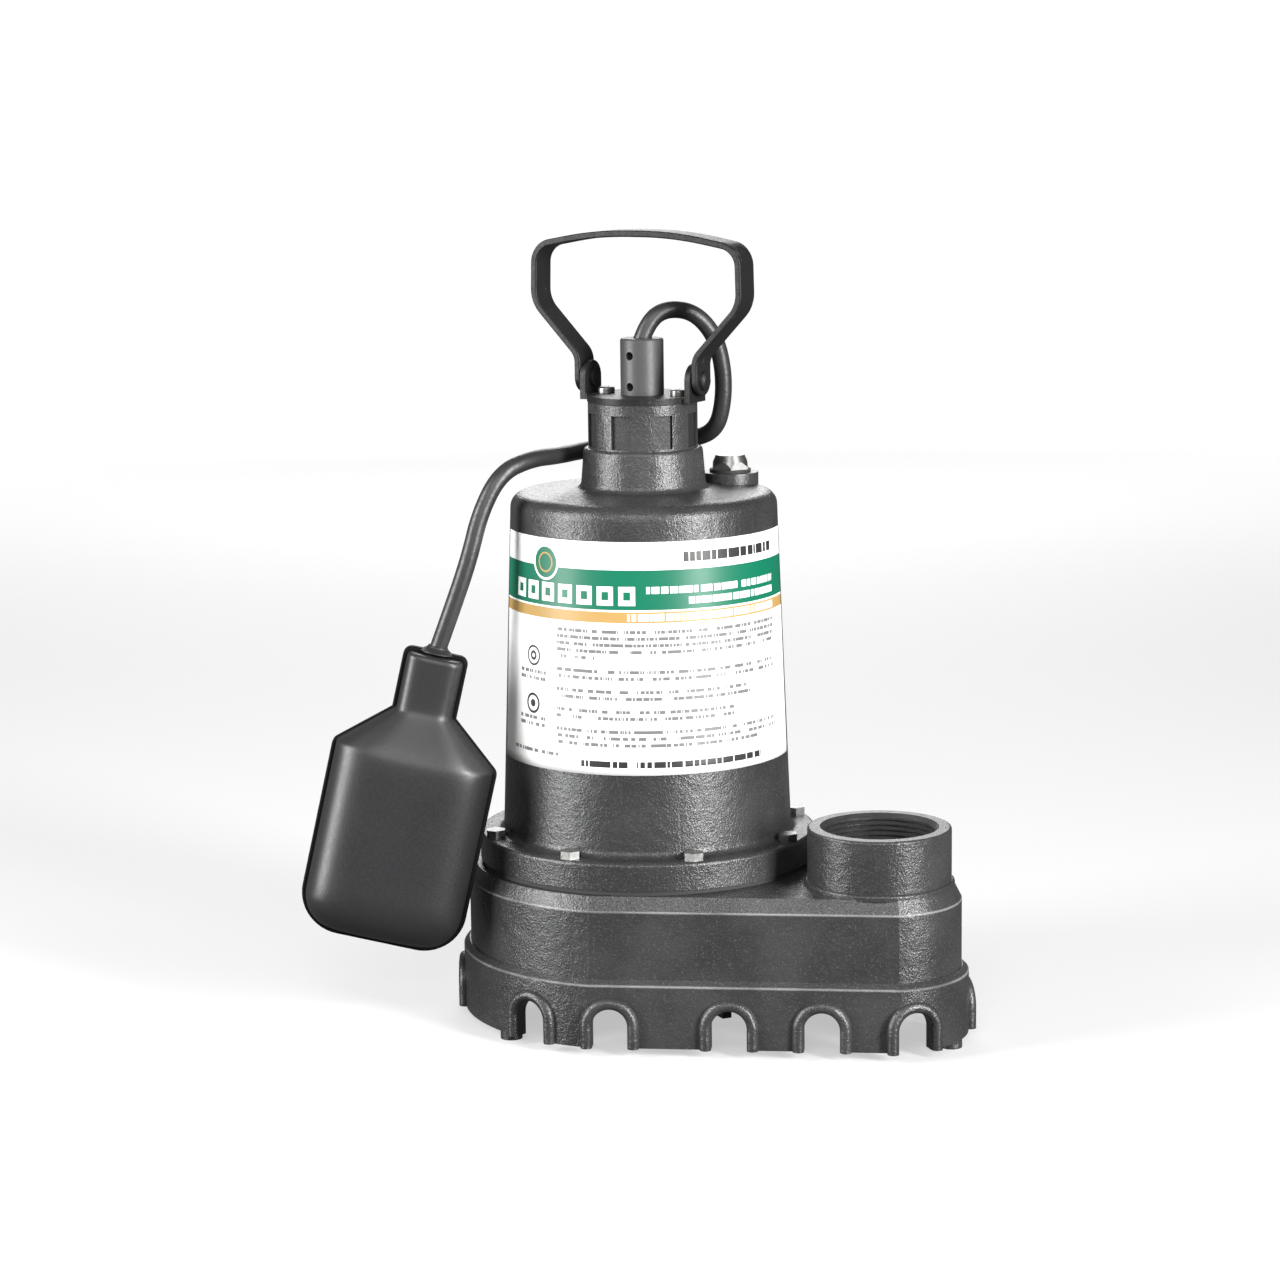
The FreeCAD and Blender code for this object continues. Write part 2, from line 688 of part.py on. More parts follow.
def make_housing():
    shoulder_z = housing_top
    top_rise = 2.0
    foot = d.lower_neck_radius
    outside = turned("housing_outside", [
        (0.0, flange_low), (d.flange_radius, flange_low), (d.flange_radius, flange_top),
        (d.housing_foot_radius, flange_top), (d.housing_radius, shoulder_z),
        (foot, shoulder_z + top_rise), (foot - 1.4, lower_neck_top), (d.neck_radius, lower_neck_top),
        (d.neck_radius, neck_top), (0.0, neck_top),
    ])
    outside = rounded("housing_shoulder", outside, circle_at(d.housing_radius, shoulder_z), d.shoulder_round)
    outside = rounded("housing_rounds", outside, any_of(
        circle_at(d.flange_radius, flange_top),
        circle_at(foot - 1.4, lower_neck_top),
    ), 1.6)
    outside = rounded("housing_fillets", outside, any_of(
        circle_at(foot, shoulder_z + top_rise),
        circle_at(d.housing_foot_radius, flange_top),
    ), 3.0)
    boss = cylinder("filler_boss", d.plug_boss_radius, 12.0, plug_place[0], plug_place[1], plug_boss_top - 12)
    boss_limit = cone("boss_limit", housing_radius_at(plug_boss_top - 12) - 0.5, d.housing_radius - 0.5,
                      12.0, z=plug_boss_top - 12)
    boss = common("filler_boss_trimmed", [boss, boss_limit])
    tools = [
        cylinder("bracket_seat", bracket_plate_radius + seat_clearance, bracket_plate + seat_clearance,
                 z=flange_low),
        cylinder("stator_bore", bore_radius, inner_top - 14 - flange_low, z=flange_low),
        cone("dome", bore_radius, d.neck_bore + 8, 14.0, z=inner_top - 14),
        cylinder("lead_passage", d.neck_bore, neck_top - inner_top + 4, z=inner_top - 2),
        cylinder("filler_hole", 4.0 + d.fit, 30.0, plug_place[0], plug_place[1], plug_boss_top - 26),
    ]
    for index, (x, y) in enumerate(flange_screw_places):
        tools.append(cylinder("flange_hole_%d" % index, d.screw_radius + 0.3, 30.0, x, y, flange_low - 5))
        tools.append(cylinder("flange_spot_%d" % index, 5.2, 4.0, x, y, flange_top))
    for side in (-1, 1):
        tools.append(cylinder("cap_hole_%d" % (side > 0), 1.6 + d.fit, 14.0,
                              motor_x + side * d.cap_screw_offset, 0.0, neck_top - 12))
    pocket_floor = d.neck_radius - d.pocket_depth
    pocket_width = 2 * pocket_floor * sine(11.25) + 0.4
    for index, angle in enumerate(around(8, first=-85.1)):
        turn = Rotation(Vector(0, 0, 1), angle)
        corner = turn.multVec(Vector(number(pocket_floor), -number(pocket_width) / 2, 0))
        tools.append(box("pocket_%d" % index, 6.0, pocket_width, d.neck_height - 5.0,
                         motor_x + corner.x, corner.y, lower_neck_top + 0.8, turn))
    solid = fuse("housing_solid", [outside, boss])
    keep(cut("housing_body", solid, tools), "motor_housing")


make_gasket()
make_housing()

# ---------------------------------------------------------------- shaft line

hub_radius = d.bearing_radius + 6
bracket_plate_top = flange_low + bracket_plate
spigot_top = bracket_plate_top + 6
lower_bearing_low = spigot_top + 6
lower_bearing_top = lower_bearing_low + d.bearing_width
upper_bearing_low = inner_top - 46.5
upper_bearing_top = upper_bearing_low + d.bearing_width
seal_bore = d.shaft_radius + 7
seal_recess = chamber_top + 6

vane_low = skirt_top + 1.0
vane_height = 11.0
shroud_low = vane_low + vane_height
shroud_top = shroud_low + 3.5
hub_top = shroud_top + 4.0
hub_low = vane_low + 3.0
impeller_hub_radius = d.shaft_radius + 4
thread_end = hub_low - 7.5
nut_height = 5.0
shaft_thread = d.shaft_radius - 1.5


def make_lower_bracket():
    """The plate that closes the motor from below, with the lower bearing above and the seal below."""
    profile = [
        (d.plug_fit_radius - d.fit, chamber_top), (d.plug_fit_radius - d.fit, flange_low),
        (bracket_plate_radius, flange_low), (bracket_plate_radius, bracket_plate_top),
        (bore_radius - d.fit, bracket_plate_top), (bore_radius - d.fit, spigot_top),
        (hub_radius, spigot_top), (hub_radius, lower_bearing_top),
        (d.bearing_radius + d.fit, lower_bearing_top), (d.bearing_radius + d.fit, lower_bearing_low),
        (d.shaft_radius + 2, lower_bearing_low), (d.shaft_radius + 2, flange_low),
        (seal_bore + d.fit, flange_low), (seal_bore + d.fit, seal_recess),
        (seal_bore + 7, seal_recess), (seal_bore + 7, chamber_top),
    ]
    body = turned("lower_bracket_body", profile)
    oil_ways = [cylinder("oil_way_%d" % index, 3.0, 40.0, *polar(34.0, angle), spigot_top - 8)
                for index, angle in enumerate(around(4, 45.0))]
    keep(cut("lower_bracket_cut", body, oil_ways), "lower_bearing_bracket")


def make_upper_bracket():
    """A spider pressed into the housing, with four windows for the leads and the oil."""
    plate_low = upper_bearing_top + 1.0
    profile = [
        (d.shaft_radius + 2, plate_low + 2), (d.bearing_radius + d.fit, plate_low + 2),
        (d.bearing_radius + d.fit, upper_bearing_low), (hub_radius, upper_bearing_low),
        (hub_radius, plate_low), (bore_radius - d.fit, plate_low), (bore_radius - d.fit, plate_low + 6),
        (d.shaft_radius + 2, plate_low + 6),
    ]
    body = turned("upper_bracket_body", profile)
    window_place = (hub_radius + bore_radius) / 2
    windows = [cylinder("window_%d" % index, 8.0, 40.0, *polar(window_place, angle), plate_low - 10)
               for index, angle in enumerate(around(4, 45.0))]
    keep(cut("upper_bracket_cut", body, windows), "upper_bearing_bracket")


def make_bearing(node, low):
    """Two races with a shallow track each, and the balls between them."""
    middle = (d.shaft_radius + d.bearing_radius) / 2
    ball = (d.bearing_radius - d.shaft_radius) * 0.25
    high = low + d.bearing_width
    level = low + d.bearing_width / 2
    for race, side, land, back in (
        ("outer", 1, middle + ball * 0.55, d.bearing_radius),
        ("inner", -1, middle - ball * 0.55, d.shaft_radius + d.fit),
    ):
        floor = middle + side * (ball + d.fit)
        body = turned("%s_%s" % (node, race), [
            (back, low), (land, low), (land, level - ball * 0.92), (floor, level - ball * 0.48),
            (floor, level + ball * 0.48), (land, level + ball * 0.92), (land, high), (back, high),
        ])
        keep(body, "%s_%s_race" % (node, race))
    balls = []
    for index, angle in enumerate(around(8)):
        x, y = polar(middle, angle)
        sphere = bind(doc.addObject("Part::Sphere", "%s_ball_%d" % (node, index)), Radius=ball)
        balls.append(place(sphere, x, y, low + d.bearing_width / 2))
    keep(group(node + "_ball_group", balls), node + "_balls")


def make_shaft():
    shoulder = d.shaft_radius + 2
    profile = [
        (0.0, thread_end), (shaft_thread, thread_end), (shaft_thread, hub_low + 1),
        (d.shaft_radius, hub_low + 1), (d.shaft_radius, lower_bearing_top), (shoulder, lower_bearing_top),
        (shoulder, upper_bearing_low), (d.shaft_radius, upper_bearing_low),
        (d.shaft_radius, upper_bearing_top + 0.8), (0.0, upper_bearing_top + 0.8),
    ]
    keep(turned("shaft_body", profile), "motor_shaft")


stack_low = spigot_top + 24
stack_top = upper_bearing_top + 1 - 22
stack_height = stack_top - stack_low
stator_inner = d.rotor_radius + d.air_gap
slot_count = 24
slot_inner = stator_inner + 1.2
slot_outer = bore_radius - 10.0
stator_slot_width = 4.0


def stator_slots(name, clearance, low, height):
    """One bar for each slot of the stator, thinner and shorter by a clearance."""
    bars = []
    for index, angle in enumerate(around(slot_count)):
        turn = Rotation(Vector(0, 0, 1), angle)
        corner = turn.multVec(Vector(number(slot_inner) + clearance, -stator_slot_width / 2 + clearance, 0))
        bars.append(box("%s_%d" % (name, index), slot_outer - slot_inner - 2 * clearance,
                        stator_slot_width - 2 * clearance, height, motor_x + corner.x, corner.y, low, turn))
    return bars


def make_stator():
    core = ring("stator_ring", stator_inner, bore_radius - d.fit, stack_low, stack_top)
    slots = stator_slots("stator_slot", 0.0, stack_low - 1, stack_height + 2)
    keep(cut("stator_body", core, slots), "stator_core")
    overhang = 11.0
    bars = stator_slots("winding_bar", 0.25, stack_low - 2, stack_height + 4)
    ends = []
    for name, low in (("low", stack_low - overhang), ("high", stack_top + 1)):
        coil = ring("end_turns_" + name, slot_inner + 0.5, slot_outer, low, low + overhang - 1)
        corners = any_of(
            circle_at(slot_inner + 0.5, low), circle_at(slot_outer, low),
            circle_at(slot_inner + 0.5, low + overhang - 1), circle_at(slot_outer, low + overhang - 1),
        )
        ends.append(rounded("end_turns_%s_rounded" % name, coil, corners, 3.0))
    keep(fuse("windings_body", bars + ends), "stator_windings")


def make_rotor():
    shoulder = d.shaft_radius + 2 + d.fit
    keep(ring("rotor_body", shoulder, d.rotor_radius, stack_low, stack_top), "rotor_core")
    end_rings = []
    for name, low in (("low", stack_low - 5), ("high", stack_top)):
        end_rings.append(ring("end_ring_" + name, 16.0, d.rotor_radius, low, low + 5))
    keep(group("end_ring_group", end_rings), "rotor_end_rings")


def make_impeller():
    """A shroud with a hub, and five curved vanes under it: each vane is part of a thin upright tube."""
    profile = [
        (d.shaft_radius + d.fit, hub_low + 1), (impeller_hub_radius, hub_low + 1),
        (impeller_hub_radius, shroud_low), (d.impeller_radius, shroud_low), (d.impeller_radius, shroud_top),
        (impeller_hub_radius + 2, shroud_top), (impeller_hub_radius, hub_top), (d.shaft_radius + d.fit, hub_top),
    ]
    disc = turned("impeller_disc", profile)
    vane_bend = (d.impeller_radius + 2) / 2
    vane_middle = d.impeller_radius - 1 - vane_bend
    vane_thickness = 3.0
    vanes = []
    for index, angle in enumerate(around(5)):
        x, y = polar(vane_middle, angle)
        turn = Rotation(Vector(0, 0, 1), angle)
        outer = cylinder("vane_outer_%d" % index, vane_bend, vane_height + 0.5, x, y, vane_low, turn, 138.0)
        inner = cylinder("vane_inner_%d" % index, vane_bend - vane_thickness, vane_height + 2, x, y,
                         vane_low - 1, turn)
        vanes.append(cut("vane_%d" % index, outer, [inner]))
    keep(fuse("impeller_body", [disc] + vanes), "impeller")
    washer_low = hub_low - 0.5
    keep(ring("impeller_washer_body", shaft_thread + d.fit, 8.0, washer_low, washer_low + 1.45),
         "impeller_washer")
    nut = hexagon("impeller_nut_hexagon", 13.0, nut_height, z=washer_low - nut_height)
    bore = cylinder("impeller_nut_bore", shaft_thread + d.fit, nut_height + 2, z=washer_low - nut_height - 1)
    keep(cut("impeller_nut_body", nut, [bore]), "impeller_nut")


def make_seal():
    """The face seal: a fixed ceramic seat in a rubber cup, and a carbon ring that a spring holds up to it."""
    seat_low = flange_low - 6.0
    face = seat_low - d.fit
    keep(ring("seal_seat_body", d.shaft_radius + 1, seal_bore - 2, seat_low, flange_low - 1.5), "seal_seat")
    cup = turned("seal_cup_body", [
        (d.shaft_radius + 1, flange_low - 1.5), (seal_bore - 2, flange_low - 1.5), (seal_bore - 2, seat_low + 1),
        (seal_bore, seat_low + 1), (seal_bore, flange_low - 0.1), (d.shaft_radius + 1, flange_low - 0.1),
    ])
    keep(cup, "seal_cup")
    keep(ring("seal_ring_body", d.shaft_radius + 0.8, seal_bore - 3, face - 4, face), "seal_carbon_ring")
    bellows_low = hub_top
    bellows_top = face - 4
    keep(ring("seal_bellows_body", d.shaft_radius + d.fit, d.shaft_radius + 1.8, bellows_low, bellows_top),
         "seal_bellows")
    wire = 0.7
    coil_radius = d.shaft_radius + 3.2
    height = number(bellows_top - bellows_low) - 2 * wire - 0.2
    helix = Part.makeHelix(height / 3, height, number(coil_radius))
    start = helix.Vertexes[0].Point
    section = Part.Wire(Part.makeCircle(wire, start, Vector(0, 1, 0)))
    spring = Part.Wire(helix).makePipeShell([section], True, True)
    at = FreeCAD.Placement(Vector(number(motor_x), 0, number(bellows_low) + wire + 0.1), Rotation())
    keep(shape_feature("seal_spring_body", spring, at), "seal_spring")


make_lower_bracket()
make_upper_bracket()
make_bearing("lower_bearing", lower_bearing_low)
make_bearing("upper_bearing", upper_bearing_low)
make_shaft()
make_stator()
make_rotor()
make_impeller()
make_seal()
keep(ring("wave_spring_body", d.bearing_radius - 3.5, d.bearing_radius - 0.5,
          upper_bearing_top + 0.6, upper_bearing_top + 2.4), "bearing_wave_spring")

# ---------------------------------------------------------------- filler plug and label


def make_filler_plug():
    x, y = plug_place
    washer = 1.2
    head_low = plug_boss_top + washer
    keep(ring("filler_washer_body", 4.2, 8.8, plug_boss_top, head_low, x=x, y=y), "filler_plug_washer")
    shank = cylinder("filler_shank", 4.0, 16.0, x, y, head_low - 15)
    head = hexagon("filler_hexagon", d.plug_across, 6.0, x, y, head_low)
    dome = cone("filler_dome", d.plug_across / 2 + 1.4, d.plug_across / 2 - 1.2, 6.0, x, y, head_low)
    crowned = common("filler_crowned", [head, dome])
    keep(fuse("filler_plug_body", [crowned, shank]), "oil_filler_plug")


def make_label():
    """A thin sleeve over part of the housing, facing the front right."""
    low = flange_top + d.label_low
    high = low + d.label_height
    first = -61.0 - number(d.label_angle) / 2
    turn = Rotation(Vector(0, 0, 1), first)
    skin = 0.3
    radii = (housing_radius_at(low) + 0.03, housing_radius_at(high) + 0.03)
    outer = cone("label_outer", radii[0] + skin, radii[1] + skin, d.label_height, z=low, turn=turn,
                 angle=d.label_angle)
    inner = cone("label_inner", radii[0], radii[1], d.label_height, z=low)
    keep(cut("label_body", outer, [inner]), "rating_label")


make_filler_plug()
make_label()

# ---------------------------------------------------------------- cap plate, sleeve and handle

ear_inner = d.neck_radius + 0.6
ear_outer = ear_inner + d.cap_thickness
strap_inner = ear_outer + 0.3
strap_middle = strap_inner + d.handle_thickness / 2
strap_outer = strap_inner + d.handle_thickness
rivet_z = cap_top + 6.5
ear_half_width = 7.0
sideways = Rotation(Vector(0, 1, 0), 90)


def make_cap():
    disc = cylinder("cap_disc", d.neck_radius + 0.3, d.cap_thickness, z=cap_low)
    bar = box("cap_bar", ear_outer * 2, ear_half_width * 2, d.cap_thickness,
              motor_x - ear_outer, -ear_half_width, cap_low)
    ears = []
    for name, low_x in (("left", motor_x - ear_outer), ("right", motor_x + ear_inner)):
        ears.append(box("ear_" + name, d.cap_thickness, ear_half_width * 2, rivet_z - cap_low,
                        low_x, -ear_half_width, cap_low))
        ears.append(cylinder("ear_crown_" + name, ear_half_width, d.cap_thickness, low_x, 0.0, rivet_z,
                             sideways))
    tools = [
        cylinder("cap_rivet_holes", d.rivet_radius + d.fit, ear_outer * 2 + 2,
                 motor_x - ear_outer - 1, 0.0, rivet_z, sideways),
        cylinder("cap_cord_hole", cord_radius + 1.5, 20.0, z=cap_low - 5),
    ]
    for side in (-1, 1):
        tools.append(cylinder("cap_plate_hole_%d" % (side > 0), 2.0, 20.0,
                              motor_x + side * d.cap_screw_offset, 0.0, cap_low - 5))
    keep(cut("cap_body", fuse("cap_solid", [disc, bar] + ears), tools), "cap_plate")
    pad = ring("neck_gasket_ring", d.neck_bore - 1, d.neck_radius - 0.4, neck_top, cap_low)
    holes = [cylinder("neck_gasket_hole_%d" % (side > 0), 2.0, 20.0, motor_x + side * d.cap_screw_offset, 0.0,
                      neck_top - 10) for side in (-1, 1)]
    keep(cut("neck_gasket_body", pad, holes), "neck_gasket")
    screws = [pan_screw("cap_screw_%d" % (side > 0), 1.6, 11.0, 3.6, 2.6,
                        motor_x + side * d.cap_screw_offset, 0.0, cap_top) for side in (-1, 1)]
    keep(group("cap_screw_group", screws), "cap_screws")


def make_sleeve():
    """The moulded connector that the cord comes out of, with two cross holes."""
    body = turned("sleeve_body", [
        (cord_radius + 0.15, cap_top), (d.sleeve_radius, cap_top), (d.sleeve_radius, sleeve_top - 0.6),
        (d.sleeve_radius - 0.6, sleeve_top), (cord_radius + 0.15, sleeve_top),
    ])
    facing = -97.0
    turn = Rotation(Vector(0, 0, 1), facing).multiply(sideways)
    holes = [cylinder("sleeve_hole_%d" % index, 1.75, d.sleeve_radius + 2, z=cap_top + height, turn=turn)
             for index, height in enumerate((3.6, d.sleeve_height - 7.0))]
    keep(cut("sleeve_cut", body, holes), "cord_connector_sleeve")
    tail = cylinder("inner_cord", cord_radius, sleeve_top - cap_low + 4, z=cap_low - 4)
    plug = cylinder("inner_plug", d.neck_bore - 1.0, 12.0, z=cap_low - 16)
    pins = [cylinder("pin_%d" % index, 1.2, 8.0, *polar(6.0, angle), cap_low - 23)
            for index, angle in enumerate(around(3, 90.0))]
    keep(fuse("inner_connector_body", [tail, plug] + pins), "terminal_plug")


def runs_and_arcs(points, radii):
    """A path through the points: straight runs joined by tangent arcs of the radii given for the corners."""
    edges = []
    start = points[0]
    for before, corner, after, radius in zip(points, points[1:], points[2:], radii):
        back = (before - corner).normalize()
        ahead = (after - corner).normalize()
        half_turn = (math.pi - back.getAngle(ahead)) / 2
        reach = radius * math.tan(half_turn)
        first = corner + back * reach
        last = corner + ahead * reach
        middle_way = (back + ahead).normalize()
        middle = corner + middle_way * (radius / math.cos(half_turn) - radius)
        edges.append(Part.LineSegment(start, first).toShape())
        edges.append(Part.Arc(first, middle, last).toShape())
        start = last
    edges.append(Part.LineSegment(start, points[-1]).toShape())
    return Part.Wire(edges)


def make_handle():
    """A flat strap bent into a bail, riveted outside the cap plate's ears."""
    grip = number(d.handle_half_width)
    leg = number(strap_middle)
    low = number(rivet_z)
    crown = low + number(d.handle_rise)
    shoulder = crown - number(d.handle_bow)
    half = [(leg, low, None), (leg, low + 9.5, 8.0), (grip + 0.6, low + 31.5, 13.0),
            (grip, shoulder - 0.5, number(d.handle_corner)), (18.0, crown, 165.0)]
    right = [Vector(x, 0, z) for x, z, radius in half]
    left = [Vector(-x, 0, z) for x, z, radius in reversed(half)]
    radii = [radius for x, z, radius in half[1:]]
    path = runs_and_arcs(right + left, radii + radii[::-1])
    wide = number(d.handle_width) / 2
    thick = number(d.handle_thickness) / 2
    corners = [Vector(leg + x * thick, y * wide, low) for x, y in ((-1, -1), (1, -1), (1, 1), (-1, 1))]
    section = Part.makePolygon(corners + corners[:1])
    strap = path.makePipeShell([section], True, True)
    for side in (-1, 1):
        start = Vector(side * leg - thick, 0, low)
        strap = strap.fuse(Part.makeCylinder(wide, 2 * thick, start, Vector(1, 0, 0)))
    bore = Part.makeCylinder(number(d.rivet_radius + d.fit), 4 * leg, Vector(-2 * leg, 0, low), Vector(1, 0, 0))
    strap = strap.cut(bore).removeSplitter()
    # The strap's long edges are broken so that they catch the light.
    long_edges = [edge for edge in strap.Edges if abs(abs(edge.CenterOfMass.y) - wide) < 0.01]
    strap = strap.makeFillet(0.7, [edge for edge in long_edges if edge.Length > 1.0])
    keep(shape_feature("handle_strap", strap, FreeCAD.Placement(Vector(number(motor_x), 0, 0), Rotation())),
         "carry_handle")


def make_rivets():
    rivets = []
    for name, side in (("left", -1), ("right", 1)):
        turn = Rotation(Vector(0, 1, 0), 90 * side)
        head = 1.7
        inner_head = turned("rivet_" + name, [
            (0.0, ear_inner - 1.4), (3.8, ear_inner - 1.4), (3.8, ear_inner), (d.rivet_radius, ear_inner),
            (d.rivet_radius, strap_outer + 0.1), (4.2, strap_outer + 0.1), (3.9, strap_outer + 0.1 + head * 0.55),
            (2.6, strap_outer + 0.1 + head), (0.0, strap_outer + 0.1 + head),
        ], z=rivet_z, turn=turn)
        rivets.append(inner_head)
    keep(group("rivet_group", rivets), "handle_rivets")


make_cap()
make_sleeve()
make_handle()
make_rivets()

# ---------------------------------------------------------------- electrical parts inside


def make_wires():
    """Three leads from the windings, through a window of the upper bracket, to the plug in the neck."""
    wires = []
    wire_radius = 1.3
    window_middle = number(hub_radius + bore_radius) / 2
    plug_low = number(cap_low) - 23
    for index, angle in enumerate((45.0, 135.0, 225.0)):
        away = Rotation(Vector(0, 0, 1), angle).multVec(Vector(1, 0, 0))
        pin_x, pin_y = (number(size) for size in polar(6.0, 90.0 + 120 * index, x=Size(0, "0")))
        points = [
            away * window_middle + Vector(0, 0, number(stack_top) + 11.5),
            away * window_middle + Vector(0, 0, number(inner_top) - 24),
            away * 11.0 + Vector(0, 0, number(inner_top) - 6),
            Vector(pin_x, pin_y, plug_low - 8),
            Vector(pin_x, pin_y, plug_low),
        ]
        path = runs_and_arcs(points, [8.0, 8.0, 5.0])
        heading = points[1] - points[0]
        section = Part.Wire(Part.makeCircle(wire_radius, points[0], heading))
        wires.append(path.makePipeShell([section], True, True))
    at = FreeCAD.Placement(Vector(number(motor_x), 0, 0), Rotation())
    keep(shape_feature("lead_group", Part.makeCompound(wires), at), "lead_wires")


def make_protector():
    """The thermal overload in its cradle on the upper bracket, opposite the leads."""
    x, y = polar(hub_radius + 8, -45.0)
    low = upper_bearing_top + 7.2
    can = cylinder("overload_can", 7.5, 9.0, x, y, low)
    keep(rounded("overload_body", can, circle_at(7.5, low + 9), 1.2), "thermal_overload")
    capacitor = cylinder("capacitor_can", 9.0, 18.0, motor_x, 0.0, upper_bearing_top + 7.2)
    keep(rounded("capacitor_body", capacitor, circle_at(9.0, upper_bearing_top + 25.2), 1.5),
         "start_capacitor")


make_wires()
make_protector()

# ---------------------------------------------------------------- tether clamp and cord

# The view that the tether swings in: its sideways direction, and its direction to the back.
swing_angle = 28.74
swing = Rotation(Vector(0, 0, 1), swing_angle)


def beside(sideways_distance, back_distance, z):
    """A place given sideways and backwards from the motor axis."""
    spot = swing.multVec(Vector(sideways_distance, back_distance, z))
    return Vector(spot.x + number(motor_x), spot.y, spot.z)


# The cord's route: out of the sleeve, over in a tight arch, round the back of the neck, and down to the float.
CORD_ROUTE = [
    (0.3, 0.0, 288.0), (3.2, 1.0, 295.5), (11.2, 3.8, 300.0), (22.5, 7.8, 297.8), (31.0, 11.3, 287.5),
    (34.3, 13.2, 273.5), (34.3, 14.5, 259.5), (31.3, 16.5, 247.5), (22.5, 25.0, 242.5), (6.5, 32.0, 240.5),
    (-12.5, 31.0, 239.5), (-27.0, 19.5, 238.5), (-35.5, 1.5, 238.8), (-46.5, -15.0, 239.6),
    (-59.0, -24.5, 235.0), (-67.5, -28.5, 219.5), (-72.5, -31.0, 200.0), (-80.0, -32.0, 179.0),
    (-86.4, -32.0, 162.0),
]
# The route is chosen for one height of the sleeve, and rises and falls with it.
route_rise = number(sleeve_top) - CORD_ROUTE[0][2]
cord_points = [beside(aside, back, z + route_rise) for aside, back, z in CORD_ROUTE]
CLAMP_RUN = 9
PIVOT = 13


def cord_radii(points):
    """Each corner's arc radius: 0.45 of its shorter run over the tangent of half its turn."""
    radii = []
    for before, corner, after in zip(points, points[1:], points[2:]):
        half_turn = (math.pi - (before - corner).getAngle(after - corner)) / 2
        shorter = min((before - corner).Length, (after - corner).Length)
        radii.append(0.45 * shorter / math.tan(half_turn))
    return radii


def middle(index):
    """The middle of the run that starts at a point of the route."""
    return (cord_points[index] + cord_points[index + 1]) * 0.5


def cord_stretch(node, first, last):
    """A stretch of cord as a round tube, from the middle of one run, or the route's start, to the middle
    of another, or its end; its volume has to be its section times its length."""
    points = cord_points[first:last + 1]
    radii = cord_radii(cord_points)[max(first - 1, 0):last]
    if first > 0:
        points = [middle(first - 1)] + points
    if last < len(cord_points) - 1:
        points = points + [middle(last)]
    path = runs_and_arcs(points, radii)
    section = Part.Wire(Part.makeCircle(number(cord_radius), points[0], points[1] - points[0]))
    tube = path.makePipeShell([section], True, True)
    expected = math.pi * number(cord_radius) ** 2 * path.Length
    if abs(tube.Volume / expected - 1) > 0.01:
        raise ValueError("the tube of %s has the wrong volume" % node)
    print("%s: length %.1f, radii %s" % (node, path.Length, " ".join("%.1f" % radius for radius in radii)))
    return keep(shape_feature(node + "_tube", tube), node)


cord_stretch("cord_loop", 0, PIVOT - 1)
cord_stretch("tether_bend", PIVOT, PIVOT + 1)
cord_stretch("tether_drop", PIVOT + 2, len(cord_points) - 1)


def make_clamp():
    """A clip round the cord with a tab on the back of the neck, and its screw."""
    run = cord_points[CLAMP_RUN + 1] - cord_points[CLAMP_RUN]
    centre = middle(CLAMP_RUN)
    along = run.normalize()
    half_length = 4.0
    start = centre - along * half_length
    loop = Part.makeCylinder(number(cord_radius) + 1.4, 2 * half_length, start, along)
    out = swing.multVec(Vector(0, 1, 0))
    neck_side = centre - out * (number(cord_radius) + 1.4)
    tab_low = number(housing_top) + 5.6
    tab = Part.makeBox(2 * half_length, 1.3, centre.z - tab_low)
    corner = Vector(neck_side.x, neck_side.y, tab_low) - swing.multVec(Vector(half_length, 0, 0))
    tab.Placement = FreeCAD.Placement(corner, swing)
    clip = loop.fuse(tab)
    clip = clip.cut(Part.makeCylinder(number(cord_radius), 2 * half_length + 2, start - along, along))
    screw_z = tab_low + 3.2
    screw_seat = Vector(neck_side.x, neck_side.y, screw_z) + out * 1.3
    clip = clip.cut(Part.makeCylinder(1.6, 6.0, screw_seat - out * 4, out))
    keep(shape_feature("tether_clamp_body", clip), "tether_clamp")
    outward = swing.multiply(Rotation(Vector(1, 0, 0), -90))
    keep(pan_screw("clamp_screw_body", 1.5, 8.0, 2.7, 1.8, screw_seat.x, screw_seat.y, screw_seat.z, outward),
         "tether_clamp_screw")
    return screw_seat, outward


clamp_seat, clamp_outward = make_clamp()
clamp_hole = cylinder("clamp_hole", 1.55, 9.5, clamp_seat.x, clamp_seat.y, clamp_seat.z,
                      clamp_outward.multiply(Rotation(Vector(1, 0, 0), 180)))
housing = nodes["motor_housing"]
housing.Tool.Shapes = housing.Tool.Shapes + [clamp_hole]

# ---------------------------------------------------------------- float

FLOAT_TILT = 13.0
float_at = cord_points[-1]
float_turn = swing.multiply(Rotation(Vector(0, 1, 0), FLOAT_TILT))
float_place = FreeCAD.Placement(float_at, float_turn)
# In the float's own frame +Z runs up its neck and out along the cord, X is its width and Y its depth.
neck_half = 13.6
neck_length = 26.0
shoulder_length = 44.5
corner_round = 18.0


